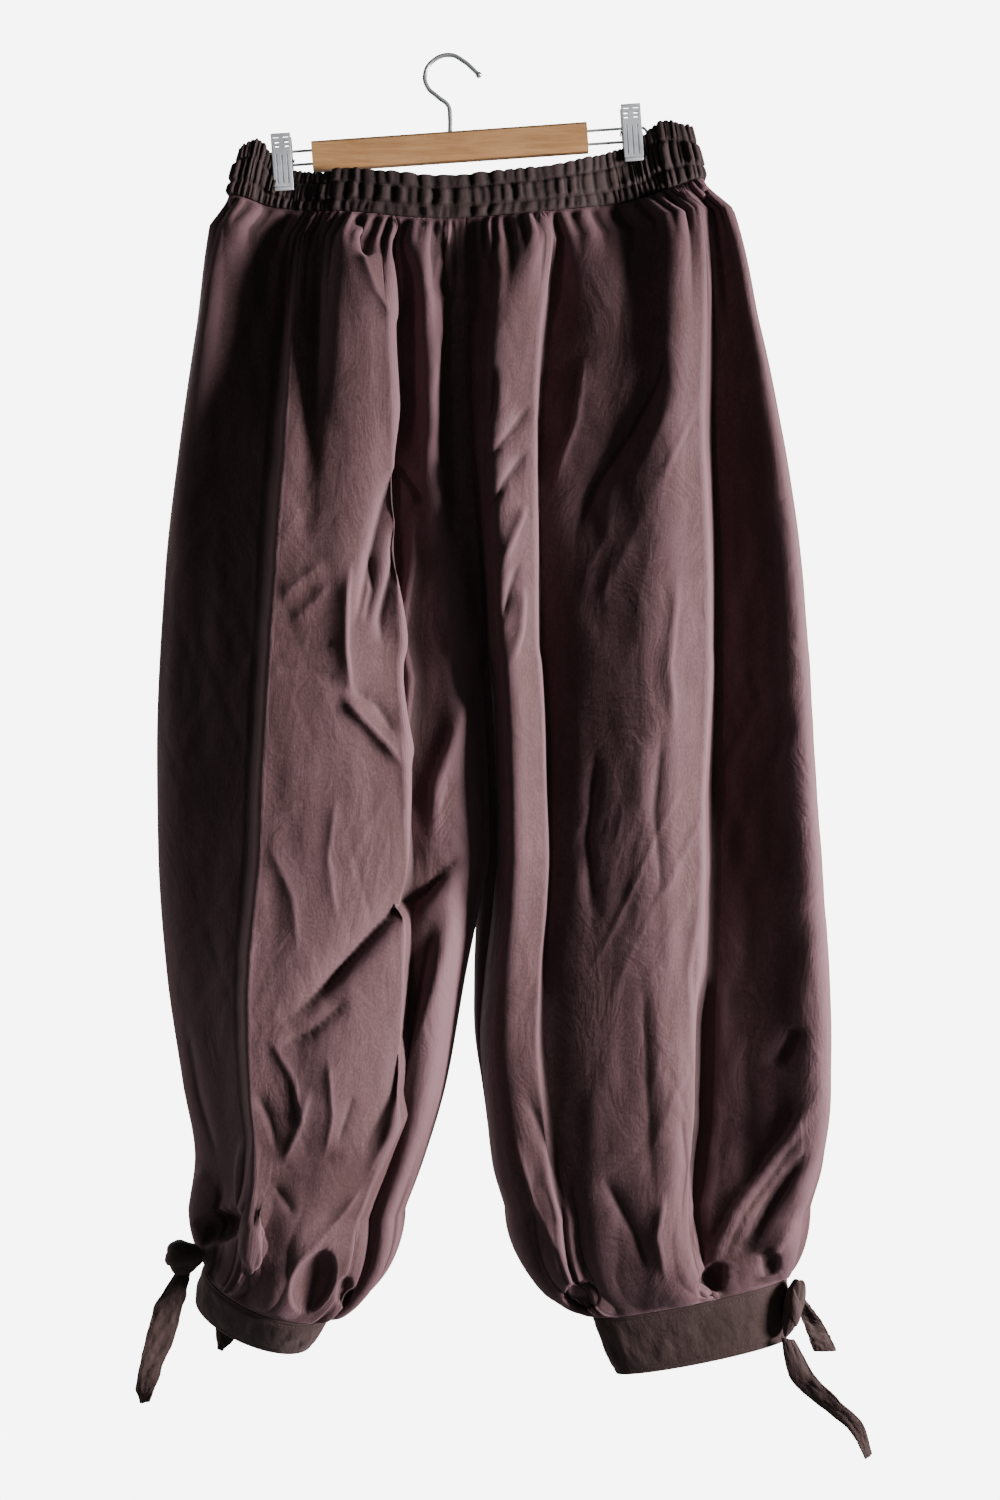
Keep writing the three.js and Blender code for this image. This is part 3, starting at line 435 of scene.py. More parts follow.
washedCloth = buildWashedCloth()
# paintedShade is the colour painted into fold valleys and thread gaps as shade.
clothFinishes = {
    "cloth": {"base": (0.078, 0.037, 0.038, 1), "bloom": (0.158, 0.086, 0.098, 1), "paintedShade": (0.022, 0.013, 0.012, 1),
              "bloomAmount": 0.5, "crestAmount": 0.55, "sheen": 0.24, "sheenTint": (0.9, 0.55, 0.66, 1)},
    # The cuffs, ties and knots are the same cloth with darker colours: painted shade.
    "shadedCuffCloth": {"base": (0.046, 0.026, 0.024, 1), "bloom": (0.085, 0.052, 0.050, 1),
                  "paintedShade": (0.020, 0.013, 0.012, 1), "bloomAmount": 0.45, "crestAmount": 0.5, "sheen": 0.15,
                  "sheenTint": (0.8, 0.6, 0.6, 1)},
    # The waistband is the same cloth again, darker still: painted shade.
    "shadedWaistCloth": {"base": (0.030, 0.018, 0.017, 1), "bloom": (0.062, 0.039, 0.038, 1),
                   "paintedShade": (0.012, 0.008, 0.008, 1), "bloomAmount": 0.4, "crestAmount": 0.6, "sheen": 0.12,
                   "sheenTint": (0.8, 0.6, 0.6, 1)},
}


def addSurface(tree, sockets):
    shader = addNode(tree, "ShaderNodeBsdfPrincipled", sockets)
    addNode(tree, "ShaderNodeOutputMaterial", {"Surface": shader.outputs[0]})


def newMaterial(name):
    material = bpy.data.materials.new(name)
    material.use_nodes = True
    material.node_tree.nodes.clear()
    return material, material.node_tree


def buildClothMaterial(name, finish):
    material, tree = newMaterial(name)
    cloth = addNode(tree, "ShaderNodeGroup", node_tree=washedCloth)
    for socket, key in (("Base", "base"), ("Bloom", "bloom"), ("Painted shade", "paintedShade"), ("Bloom amount", "bloomAmount"),
                        ("Crest amount", "crestAmount")):
        cloth.inputs[socket].default_value = finish[key]
    addSurface(tree, {
        "Base Color": cloth.outputs["Colour"], "Roughness": cloth.outputs["Roughness"],
        "Normal": bumpOf(tree, cloth.outputs["Height"], 0.5, 0.0006),
        "Specular IOR Level": 0.22, "Sheen Weight": finish["sheen"], "Sheen Roughness": 0.42,
        "Sheen Tint": finish["sheenTint"]})
    return material


clothMaterial = buildClothMaterial("dark plum washed cloth", clothFinishes["cloth"])
shadedCuffMaterial = buildClothMaterial("dark plum cuff cloth, darkened as painted shade", clothFinishes["shadedCuffCloth"])
shadedWaistMaterial = buildClothMaterial("dark plum waistband cloth, darkened as painted shade", clothFinishes["shadedWaistCloth"])


def dress(piece, material):
    piece.data.materials.clear()
    piece.data.materials.append(material)


def frontView(grid):  # where a point shows from the front camera, as x and drop on the hook's plane
    eyeX, eyeY, eyeZ = [value / mm for value in cameraSetup["place"]]
    scale = -eyeY / (grid[..., 1] - eyeY)
    return eyeX + (grid[..., 0] - eyeX) * scale, -(eyeZ + (grid[..., 2] - eyeZ) * scale)


# ---- waistband ----
waistband = {
    "rows": [  # x of the band, drop of the seam under it, height of the band above the seam
        (-182, 113, 36), (-166, 118, 47), (-146, 124, 32), (-113, 128, 31), (-86, 130, 35), (-8, 137, 35),
        (74, 131, 36), (139, 121, 42), (158, 116, 44), (182, 109, 53), (199, 103, 45), (210, 100, 40),
    ],
    "ring": [  # x and forward of half the waist ring, pinched under the clips and bowed between them
        (-181, 0), (-181.4, 7), (-167, 10), (-153, 2.4), (-137, 2.4), (-120, 2.4), (-94, 13), (-50, 18), (10, 17),
        (60, 18), (104, 14), (134, 2.4), (152, 2.4), (168, 2.4), (186, 10), (208.4, 8), (208, 0),
    ],
    "middleX": 13,
    "lean": 0.055,  # how much narrower the top edge is than the seam
    "wall": 1.3,
    "columns": 520,
    "rowsUp": 34,
    "stitchLines": (0.27, 0.70),  # the two rows of stitching that part the elastic channels
    "ruched": 420,  # length of one half as it hangs
    "flat": (620, 42),  # its cloth laid out for the weave
    "pressed": (-137.0, 149.0), "pressWidth": 9.0,  # where the clips press it flat
    # seed, narrowest and widest ridge of each row; the unbroken ones run on through all three rows
    "ridges": {"header": (2, 4.5, 8.5), "channel": (3, 6, 13), "foot": (4, 5, 11), "unbroken": (7, 6, 14)},
    "ridgeHeights": {"header": 3.4, "channel": 6.0, "foot": 4.2},
    "rowBlend": 0.07, "seamPinch": 0.5, "seamWidth": 0.04,  # in shares of the band's height
    "endFade": 60, "endLift": 0.25, "pressDepth": 0.72, "frill": 1.5,
}
bandX, bandSeam, bandHeight = (np.array(column, float) for column in zip(*waistband["rows"]))
ringPoints = np.array([(x, -forward, 0.0) for x, forward in waistband["ring"]])
ringTrack = alongFolds(ringPoints, np.linspace(0, 1, 4001))
ringTrackX = np.maximum.accumulate(ringTrack[:, 0])


def waistSeam(x):
    return through(bandX, bandSeam, x)


def lumps(t, seed, narrow, wide, total):  # rounded ridges of uneven width, parted by thin valleys
    random = np.random.default_rng(seed)
    edges = [0.0]
    while edges[-1] < total:
        edges.append(edges[-1] + random.uniform(narrow, wide))
    edges = np.array(edges) * total / edges[-1]
    size = random.uniform(0.4, 1.0, len(edges))
    i = np.clip(np.searchsorted(edges, t * total, side="right") - 1, 0, len(edges) - 2)
    inside = (t * total - edges[i]) / (edges[i + 1] - edges[i])
    return size[i] * np.maximum(0, 1 - (2 * inside - 1) ** 2) ** 0.6


def waistbandGrid(side):
    t = np.linspace(0, 1, waistband["columns"] + 1)
    up = np.linspace(0, 1, waistband["rowsUp"] + 1)[:, None]
    ring = alongFolds(ringPoints, t)
    ahead, behind = alongFolds(ringPoints, t + 0.004), alongFolds(ringPoints, t - 0.004)
    normal = np.stack([ahead[:, 1] - behind[:, 1], behind[:, 0] - ahead[:, 0], 0 * t], axis=1)
    normal /= np.linalg.norm(normal, axis=1, keepdims=True)
    normal[:, 1] = -np.abs(normal[:, 1])
    lower, upper = waistband["stitchLines"]
    seed = 21 if side > 0 else 42
    slant = 0.004 * smoothNoise(t * 22, up * 2.2, seed) + 0.0015 * smoothNoise(t * 70, up * 4, seed + 1)
    rows = {row: lumps(t + slant, seed + shift, narrow, wide, waistband["ruched"])
            for row, (shift, narrow, wide) in waistband["ridges"].items()}
    soft = waistband["rowBlend"]
    intoChannel, intoHeader = (ease((up - line + soft) / (2 * soft)) for line in (lower, upper))
    blend = lambda table: mix(mix(table["foot"], table["channel"], intoChannel), table["header"], intoHeader)
    ridge = 0.5 * rows["unbroken"] + 0.62 * blend(rows)
    pinch = np.ones_like(up + t)
    for line in (0.0, lower, upper):
        pinch *= 1 - waistband["seamPinch"] * np.exp(-((up - line) / waistband["seamWidth"]) ** 2)
    endFade = np.minimum(1, np.minimum(t, 1 - t) * waistband["endFade"])
    lift = (0.5 + blend(waistband["ridgeHeights"]) * ridge) * pinch * mix(waistband["endLift"], 1, endFade)
    underClip = sum(np.exp(-((ring[:, 0] - x) / waistband["pressWidth"]) ** 2) for x in waistband["pressed"])
    lift = lift * (1 - waistband["pressDepth"] * clamp01(underClip) * ease((up - 0.25) / 0.3))
    lean = 1 - waistband["lean"] * up
    x = waistband["middleX"] + (ring[:, 0] - waistband["middleX"]) * lean
    y = ring[:, 1] + 0 * up
    frill = waistband["frill"] * (rows["header"] - 0.45) * ease((up - 0.75) / 0.25)
    z = -waistSeam(ring[:, 0]) + 0.1 + up * through(bandX, bandHeight, ring[:, 0]) + frill
    grid = np.stack([x, y, z], axis=2)
    grid += normal[None] * (lift + 0.2)[..., None]
    grid[:, [0, -1], 1] = np.minimum(grid[:, [0, -1], 1], -0.1)
    grid[..., 1] *= side
    return grid, t, up


for side, name in ((1, "waistband_front"), (-1, "waistband_back")):
    grid, t, up = waistbandGrid(side)
    band = addGrid(name + "_ruched", grid)
    turnOut(band, side < 0)
    layFlat(band, t * waistband["flat"][0], up * waistband["flat"][1])
    normal = rowNormals(grid, 1)
    normal = normal * np.sign(-side * normal[..., 1:2] + 1e-9)
    markPoints(band, "crest", crestsOf(grid, normal, 3))
    thicken(band, waistband["wall"], -1)
    for line in waistband["stitchLines"]:
        row = round(line * waistband["rowsUp"])
        sewStitches(band, grid[row], normal[row])
    waistband[name] = band
print("waistband ready")

# ---- leg outlines and folds ----
waistSeamDrop, crotchDrop, ankleDrop, hemDrop = 138, 486, 940, 1040
centreSeamForward = 28
centreSeam = [(138, 13), (224, 13), (322, 18), (420, 25), (486, 29)]  # drop and x, seen from the front
legs = {
    "left": {
        "outward": -1,
        "outerEdge": [(138, -187), (160, -197), (224, -208), (322, -222), (420, -233), (568, -240), (650, -239),
                      (750, -232), (839, -218), (900, -207), (940, -212)],
        "innerEdge": [(486, 29), (500, 27), (568, 31), (650, 33), (691, 25), (750, 13), (839, -3), (900, -21),
                      (940, -36)],
    },
    "right": {
        "outward": 1,
        "outerEdge": [(138, 214), (160, 233), (224, 255), (322, 274), (420, 287), (568, 297), (691, 305), (802, 310),
                      (860, 309), (905, 304), (940, 294)],
        "innerEdge": [(486, 29), (500, 32), (568, 37), (650, 39), (691, 36), (750, 29), (802, 25), (860, 30),
                      (905, 35), (940, 45)],
    },
}

# Each fold line runs from the waistband to the cuff: its place across the leg in hundredths from the
# side seam, and how far it stands out in mm, at the drops below.
foldDrops = (138, 322, 486, 650, 839, 940)
standDrops = (205, 322, 486, 650, 839, 940)
frontLeftFolds = [
    ("side turn", (1, 1, 2, 1, 2, 2), (10, 8, 7, 7, 9, 10)),
    ("side ridge", (3, 5, 5, 5, 7, 9), (26, 16, 15, 16, 20, 20)),
    ("side slope", (14, 17, 17, 16, 17, 19), (16, 20, 26, 28, 34, 34)),
    ("under panel edge", (31, 33, 32, 29, 25, 28), (14, 32, 42, 45, 50, 46)),
    ("panel edge", (36, 38, 36, 33, 29, 31), (36, 52, 60, 64, 66, 58)),
    ("edge strip", (38, 42, 40, 37, 33, 36), (34, 52, 60, 64, 66, 58)),
    ("groove", (44, 47, 47, 45, 44, 45), (22, 50, 60, 65, 67, 60)),
    ("pleat edge", (48, 52, 54, 54, 56, 54), (52, 58, 60, 65, 68, 61)),
    ("pleat face", (61, 64, 63, 63, 66, 65), (58, 60, 58, 62, 66, 60)),
    ("pleat inner", (70, 74, 75, 76, 83, 79), (50, 50, 48, 52, 57, 50)),
    ("pleat valley", (70, 73, 74, 77, 86, 84), (12, 14, 20, 30, 40, 34)),
    ("inner ridge", (84, 87, 87, 85, 93, 92), (46, 35, 28, 36, 50, 42)),
    ("under inner ridge", (92, 91, 92, 93, 97, 96), (26, 26, 30, 34, 36, 30)),
    ("inner plane", (97, 97, 98, 99, 99, 99), (28, 24, 18, 24, 18, 16)),
]
frontRightFolds = [
    ("side turn", (1, 1, 1, 1, 1, 2), (16, 22, 26, 28, 28, 17)),
    ("side ridge", (2, 3, 3, 3, 3, 7), (34, 44, 52, 57, 60, 40)),
    ("side slope", (6, 13, 16, 18, 19, 20), (22, 27, 31, 34, 38, 34)),
    ("under panel edge", (10, 24, 29, 34, 37, 40), (14, 13, 13, 15, 22, 22)),
    ("panel edge", (13, 28, 32, 38, 40, 42), (40, 50, 53, 55, 57, 50)),
    ("panel crest", (21, 39, 47, 51, 48, 48), (52, 60, 63, 66, 71, 62)),
    ("outer band", (35, 52, 61, 65, 65, 64), (34, 44, 52, 56, 62, 58)),
    ("inner band", (48, 63, 72, 76, 74, 72), (36, 36, 42, 46, 54, 52)),
    ("beside ridge", (66, 79, 83, 84, 82, 80), (14, 20, 26, 33, 44, 45)),
    ("ridge outer", (69, 80, 84, 85, 84, 83), (46, 47, 44, 42, 48, 47)),
    ("ridge crest", (84, 93, 95, 96, 94, 93), (54, 58, 57, 54, 45, 42)),
    ("ridge inner", (90, 97, 98, 99, 97, 97), (40, 38, 32, 30, 28, 28)),
    ("seam strip", (96, 99, 99, 100, 99, 99), (30, 24, 12, 14, 14, 16)),
]
backLeftFolds = [
    ("side turn", (2, 1, 1, 1, 1, 2), (10, 12, 12, 12, 10, 12)),
    ("side ridge", (9, 8, 9, 8, 9, 10), (16, 20, 22, 22, 20, 18)),
    ("side recess", (20, 19, 21, 20, 20, 22), (9, 11, 11, 12, 11, 12)),
    ("outer fold", (33, 32, 34, 35, 33, 34), (19, 27, 28, 28, 26, 20)),
    ("seat valley", (47, 46, 48, 50, 48, 46), (9, 12, 14, 11, 12, 14)),
    ("inner fold", (60, 62, 62, 64, 62, 60), (20, 26, 28, 26, 24, 20)),
    ("shallow valley", (74, 76, 76, 78, 76, 75), (10, 13, 14, 14, 14, 14)),
    ("centre ridge", (88, 89, 90, 91, 90, 88), (14, 18, 18, 20, 18, 16)),
    ("inner turn", (97, 97, 97, 98, 99, 98), (12, 11, 5, 4, 8, 10)),
]
backRightFolds = [  # its inner turn passes behind the other leg, so no light shows between the thighs
    ("side turn", (2, 1, 1, 1, 1, 2), (10, 12, 12, 12, 10, 12)),
    ("side ridge", (7, 9, 8, 9, 8, 10), (15, 21, 23, 22, 20, 18)),
    ("side valley", (17, 22, 23, 22, 21, 21), (8, 11, 12, 12, 12, 12)),
    ("outer fold", (29, 35, 36, 34, 34, 33), (18, 26, 29, 27, 25, 20)),
    ("seat valley", (44, 49, 47, 47, 49, 47), (10, 13, 12, 12, 12, 14)),
    ("inner fold", (58, 64, 60, 61, 63, 60), (21, 27, 26, 28, 25, 20)),
    ("shallow valley", (72, 77, 75, 75, 77, 75), (11, 13, 15, 13, 14, 14)),
    ("centre ridge", (86, 90, 89, 90, 89, 88), (15, 18, 19, 20, 18, 16)),
    ("inner turn", (97, 98, 108, 112, 102, 98), (12, 12, 14, 20, 12, 10)),
]

# ---- cuffs: roll turns the ring as seen from the front, pitch lowers its front edge, in degrees ----
cuffs = {
    "left": {"centre": (-147, -24, -1003), "halfWidth": 54, "halfDepth": 27, "roll": -23, "pitch": 33, "height": 42,
             "taper": 0.94, "around": 240, "down": 30},
    "right": {"centre": (195, -16, -1012), "halfWidth": 80, "halfDepth": 19, "roll": 11.5, "pitch": 4, "height": 50,
              "taper": 0.88, "around": 260, "down": 34},
}
cuffForm = {"cloth": 2.6, "stitchLines": (0.09, 0.91), "stitchWidth": 0.03}  # topstitched near both edges


def ringTurn(cuff):
    roll, pitch = math.radians(-cuff["roll"]), math.radians(cuff["pitch"])
    aboutY = np.array([[math.cos(roll), 0, math.sin(roll)], [0, 1, 0], [-math.sin(roll), 0, math.cos(roll)]])
    aboutX = np.array([[1, 0, 0], [0, math.cos(pitch), -math.sin(pitch)], [0, math.sin(pitch), math.cos(pitch)]])
    return aboutY @ aboutX


def cuffPoint(cuff, angle, down, off):  # angle 0 is the right end of the ring and 90 degrees the front
    size = mix(1, cuff["taper"], down / cuff["height"])
    x, y = np.cos(angle), -np.sin(angle)
    out = np.stack(np.broadcast_arrays(x / cuff["halfWidth"], y / cuff["halfDepth"], 0 * x), axis=-1)
    out /= np.linalg.norm(out, axis=-1, keepdims=True)
    place = np.stack(np.broadcast_arrays(x * cuff["halfWidth"] * size, y * cuff["halfDepth"] * size, -down), axis=-1)
    place = place + out * np.broadcast_to(np.asarray(off, float), place.shape[:-1])[..., None]
    return place @ ringTurn(cuff).T + np.array(cuff["centre"], float)


# ---- leg panels ----
def centreSeamOut(drop, facing):  # how far the centre seam stands out, ending in a round saddle at the crotch
    low = centreSeamForward if facing > 0 else centreSeamForward * 0.6
    saddle = clamp01((drop - (crotchDrop - 60)) / 60)
    return low * mix(1, 0.7, clamp01((drop - 205) / 150)) * np.sqrt(1 - saddle ** 2)


crispFolds = {"under panel edge", "panel edge", "pleat inner", "pleat valley", "beside ridge", "ridge outer"}

panelForm = {
    "insetDrop": 160,  # above it the side edge draws in to the waistband's end
    "gripLength": 66,  # cloth under the waistband that still follows its ring
    "holdLength": 85,  # cloth that follows the slope of the waistband's seam
    "calfDrop": 760,  # below it the leg swings forward to its cuff
    "swing": 0.6,
    "hemTurn": 0.8,  # share of a quarter circle that the hem turns in
    "rowShares": (0, 0.13, 0.8, 1),  # rows of points, closer at both ends
    "rowDrops": (waistSeamDrop, 195, 880, hemDrop),
    "edgeFade": 14, "topFade": 6, "hemFade": 10,  # small creases die away at the seams
    "swells": [(1.6, 46, 120, 7, 0), (0.5, 13, 46, 0, 3)],  # height, width, length and start of the soft swells
    "tableLength": 801, "closer": 1.3,  # how columns crowd where a panel is creased
}


def panelSurface(panel, t, drop):  # rows of points from the side seam (t 0) to the inner seam (t 1)
    leg, cuff, facing = legs[panel["leg"]], cuffs[panel["leg"]], panel["facing"]
    body = np.minimum(drop, ankleDrop)
    outer = through(*zip(*leg["outerEdge"]), body)
    inner = np.where(body > crotchDrop, through(*zip(*leg["innerEdge"]), body), through(*zip(*centreSeam), body))
    inset = through((waistSeamDrop, panelForm["insetDrop"]), (1, 0), drop)
    sideX = mix(outer, ringPoints[0, 0] if leg["outward"] < 0 else ringPoints[-1, 0], inset)
    places, stands = [sideX], [0 * body]
    for name, across, out in panel["folds"]:
        for nudge in (-0.4, 0.4) if name in crispFolds else (0,):  # two close points steer a crisp fold
            places.append(mix(sideX, inner, (through(foldDrops, across, body) + nudge) / 100))
            stands.append(-facing * through(standDrops, out, body))
    places.append(inner)
    stands.append(-facing * centreSeamOut(body, facing))
    across, out = np.stack(places, axis=1), np.stack(stands, axis=1)
    steer = np.stack([across, out, np.zeros_like(across)], axis=-1)
    grid = alongFolds(steer, t)
    grip = (1 - np.sin(clamp01((drop - waistSeamDrop) / panelForm["gripLength"]) * math.pi / 2))[:, None]
    ringY = np.interp(grid[..., 0], ringTrackX, ringTrack[:, 1])
    grid[..., 1] = mix(grid[..., 1], ringY * facing, grip)
    swing = ease((body - panelForm["calfDrop"]) / (ankleDrop - panelForm["calfDrop"]))[:, None]
    grid[..., 1] += cuff["centre"][1] * panelForm["swing"] * swing
    hold = (1 - ease((drop - waistSeamDrop) / panelForm["holdLength"]))[:, None]
    grid[..., 2] = -body[:, None] + (waistSeamDrop - waistSeam(grid[..., 0])) * hold
    share = clamp01((grid[..., 0] - outer[:, None]) / (inner - outer)[:, None])
    angle = facing * math.pi * (1 - share if leg["outward"] < 0 else share)
    ring = cuffPoint(cuff, angle, -0.15, 0)
    reach = panelForm["hemTurn"] * math.pi / 2
    turn = reach * clamp01((drop - ankleDrop) / (hemDrop - ankleDrop))
    pull = ((1 - np.cos(turn)) / (1 - math.cos(reach)))[:, None]
    sink = (np.sin(turn) / math.sin(reach))[:, None]
    return np.stack([mix(grid[..., 0], ring[..., 0], pull), mix(grid[..., 1], ring[..., 1], pull),
                     mix(grid[..., 2], ring[..., 2], sink)], axis=-1)


gatherForm = {  # height and number of the puffs across a panel
    "waist": [(3.2, 11, 12, 12, 80), (1.9, 31, 5, 8, 34)],  # then how far down they are full, hold and fade
    "hem": (2.8, 6), "hemSmall": (0.8, 13),
    "hemStart": 60, "hemRise": 100, "hemFade": 16,  # start above the ankle, then the rise and the fade
}


def gathers(t, drop, seed):  # puffs under the waistband and above the cuff, rounded outwards
    def puffs(height, count, shift):
        phase = count * t + 0.22 * wave(2.3 * t + seed) + 0.12 * wave(5.1 * t + 2 * seed) + shift
        return height * (2 * np.abs(np.sin(math.pi * phase)) - 1)
    total, below = 0, drop - waistSeamDrop
    for (height, count, full, hold, fade), shift in zip(gatherForm["waist"], (seed, 3 * seed)):
        total = total + ease(below / full) * (1 - ease((below - hold) / fade)) * puffs(height, count, shift)
    slant = 0.12 * smoothNoise(t * 5 + 3, drop / 30, int(seed * 100) + 7)
    hem = puffs(*gatherForm["hem"], 2 * seed + slant) + puffs(*gatherForm["hemSmall"], seed - 2 * slant)
    rise = ease((drop - ankleDrop + gatherForm["hemStart"]) / gatherForm["hemRise"])
    return total + rise * ease((hemDrop - drop) / gatherForm["hemFade"]) * hem


def clothColumns(panel, count):  # columns spaced over the cloth, closer where the panel has its small creases
    t = np.linspace(0, 1, panelForm["tableLength"])
    rows = panelSurface(panel, t, np.linspace(waistSeamDrop, hemDrop, 40))
    steps = np.linalg.norm(np.diff(rows, axis=1), axis=2).mean(axis=0)
    run = runningSum(steps)
    start, end = panel["creased"]
    closeness = 1 + panelForm["closer"] * ease((t - start) / 0.08) * ease((end - t) / 0.08)
    crowd = runningSum(steps * closeness[1:])
    columns = np.interp(np.linspace(0, crowd[-1], count), crowd, t)
    return columns, np.interp(columns, t, run), run[-1]


# ---- creases, drawn as lines of x and drop seen from the front ----
# height, width of its left and right side, then the points of its line from the top down
frontLeftCreases = [
    (-10, 4, 7, (-75, 124), (-70, 145), (-67, 168)),  # the slit in the head of the big pleat
    (3.5, 4, 8, (-76, 150), (-63, 191), (-46, 222)),
    (7, 20, 3, (-51, 146), (-48, 176), (-45, 242), (-44, 338)),  # the sharp right edge of the big pleat
    (6, 13, 3, (-8, 180), (-10, 225), (-14, 272), (-13, 303), (-17, 345), (-24, 366)),
    (-8, 5, 4, (-7, 140), (-3, 168), (-4, 200)),
    (-5, 8, 4, (-45, 334), (-34, 350), (-22, 368)),
    (-7, 4, 10, (-46, 336), (-60, 390), (-73, 450), (-80, 476)),
    (-6, 4, 8, (-44, 380), (-46, 416), (-57, 461), (-55, 486)),
    (-4, 4, 6, (-66, 400), (-62, 436), (-70, 470)),
    (6, 7, 4, (-80, 412), (-84, 440), (-85, 485), (-82, 516), (-90, 528)),
    (7, 4, 9, (-90, 522), (-82, 532), (-60, 556), (-36, 584)),
    (-4, 5, 5, (-82, 516), (-60, 530), (-44, 556)),
    (3, 6, 5, (-100, 414), (-120, 428), (-140, 447)),
    (2.5, 6, 5, (-96, 430), (-112, 450), (-134, 466)),
    (-1.6, 3, 4, (-88, 480), (-115, 484), (-142, 480)),
    (-1.8, 3, 4, (-86, 512), (-110, 504), (-142, 503)),
    (5, 10, 4, (-23, 362), (-33, 385), (-31, 416), (-38, 473), (-31, 511), (-38, 576), (-35, 660)),
    (7, 9, 14, (16, 508), (5, 554), (-10, 596), (-15, 645)),
    (-12, 12, 6, (18, 650), (-20, 682), (-45, 702), (-103, 763), (-138, 797)),  # the long slanting fold
    (-4, 8, 4, (-80, 772), (-114, 800), (-140, 812)),
    (9, 5, 16, (-4, 680), (-2, 705), (-16, 771), (-29, 822), (-33, 849), (-62, 904), (-73, 930)),
    (-5, 9, 5, (-12, 700), (-32, 790), (-46, 850), (-74, 905)),
    (4, 4, 8, (-68, 922), (-100, 962), (-137, 1007)),
    (-2.5, 4, 5, (-84, 900), (-118, 906), (-152, 914)),
    (-2.5, 4, 5, (-146, 922), (-125, 952)),
    (3, 4, 5, (-114, 845), (-124, 880), (-139, 912)),
    (2.6, 4, 6, (-150, 800), (-128, 838), (-118, 884)),
    (-2.4, 4, 5, (-160, 846), (-148, 870), (-140, 900)),
    (2.4, 4, 5, (-100, 815), (-96, 870), (-104, 908)),
    (-2.2, 4, 5, (-78, 850), (-92, 892)),
    (2, 5, 6, (-150, 640), (-128, 690), (-124, 740)),
    (2, 5, 6, (-92, 600), (-100, 660), (-90, 720)),
    (-3, 4, 4, (-220, 784), (-208, 851), (-189, 912)),
    (7, 6, 8, (-200, 908), (-214, 936), (-222, 966)),
    (-6, 5, 6, (-188, 920), (-196, 950), (-192, 985)),
    (5, 5, 6, (-150, 930), (-160, 962), (-158, 1000)),
    (-8, 3, 12, (-41, 146), (-38, 180), (-36, 242), (-36, 330)),
    (7, 3, 15, (-170, 880), (-172, 936), (-166, 985), (-158, 1014)),
]
frontRightCreases = [
    (-7, 12, 9, (178, 236), (171, 262), (145, 309), (119, 349), (98, 404)),
    (-3.4, 4, 6, (68, 284), (50, 308), (26, 334)),  # the twisted cloth on the inner ridge
    (-4, 4, 6, (66, 322), (50, 342), (28, 372)),
    (4, 4, 6, (64, 364), (54, 388), (40, 422)),
    (-3.4, 4, 5, (58, 414), (49, 438), (42, 464)),
    (4, 5, 5, (60, 430), (58, 470), (50, 500)),
    (-3, 5, 6, (36, 250), (34, 280), (30, 306)),
    (3, 6, 6, (112, 240), (104, 300), (84, 356)),
    (-3, 5, 6, (124, 914), (153, 969), (164, 1000)),
    (3, 4, 6, (176, 930), (170, 966), (178, 1006)),
    (-3, 5, 5, (190, 860), (196, 910), (188, 960)),
    (4.5, 6, 4, (308, 845), (282, 881), (235, 946), (207, 1006)),
    (3.5, 6, 4, (302, 918), (274, 969), (250, 1000)),
    (-5, 5, 5, (300, 888), (262, 942), (236, 990)),
    (-3, 4, 5, (288, 794), (266, 830)),
    (2, 5, 6, (206, 690), (196, 750), (200, 820)),
    (-2, 5, 6, (176, 540), (168, 620), (176, 700)),
    (2.4, 5, 6, (188, 420), (180, 500), (186, 560)),
    (-2, 4, 6, (120, 560), (112, 640), (118, 720)),
    (-3, 5, 6, (60, 840), (82, 900), (100, 958)),
    (3, 5, 6, (52, 880), (70, 940), (98, 996)),
    (-7, 5, 5, (208, 740), (207, 850), (198, 960)),
    (-3, 13, 10, (158, 740), (163, 855), (168, 950)),
]
backLeftCreases = [
    (-7, 9, 12, (-160, 300), (-110, 350), (-62, 420)),
    (-6, 8, 10, (0, 430), (-60, 476), (-130, 500)),
    (-8, 12, 7, (-30, 660), (-90, 720), (-160, 770)),
    (5, 6, 10, (-60, 800), (-90, 860), (-96, 930)),
    (-4, 6, 6, (-170, 860), (-150, 910), (-140, 960)),
    (4, 6, 7, (-100, 180), (-112, 240), (-106, 300)),
]
backRightCreases = [
    (-7, 12, 9, (210, 280), (150, 340), (90, 400)),
    (-6, 9, 8, (20, 440), (90, 480), (150, 520)),
    (-7, 7, 11, (70, 640), (130, 700), (220, 740)),
    (5, 6, 9, (120, 820), (140, 880), (150, 950)),
    (-4, 6, 7, (250, 860), (230, 920), (210, 980)),
    (4, 7, 6, (120, 180), (128, 240), (116, 310)),
]

panels = {
    "front_left": {"leg": "left", "folds": frontLeftFolds, "creases": frontLeftCreases, "facing": 1, "seed": 0.13,
                   "across": 160, "down": 306, "creased": (0.3, 0.85),
                   "hollows": [(13, 17, 28, 24, -112, 1003), (14, 27, 13, -22, -191, 960),
                               (6, 7, 13, 10, -86, 1012)]},
    "front_right": {"leg": "right", "folds": frontRightFolds, "creases": frontRightCreases, "facing": 1, "seed": 0.41,
                    "across": 160, "down": 306, "creased": (0.3, 0.95),
                    "hollows": [(10, 15, 12, -12, 108, 1016), (7, 10, 17, 30, 214, 1002), (5, 8, 12, 0, 262, 988)]},
    "back_left": {"leg": "left", "folds": backLeftFolds, "creases": backLeftCreases, "facing": -1, "seed": 0.67,
                  "across": 112, "down": 220, "creased": (0.2, 0.8), "hollows": [(7, 11, 17, 12, -150, 1000)]},
    "back_right": {"leg": "right", "folds": backRightFolds, "creases": backRightCreases, "facing": -1, "seed": 0.89,
                   "across": 112, "down": 220, "creased": (0.2, 0.8), "hollows": [(7, 12, 15, -14, 176, 1004)]},
}
clothWall = 0.9


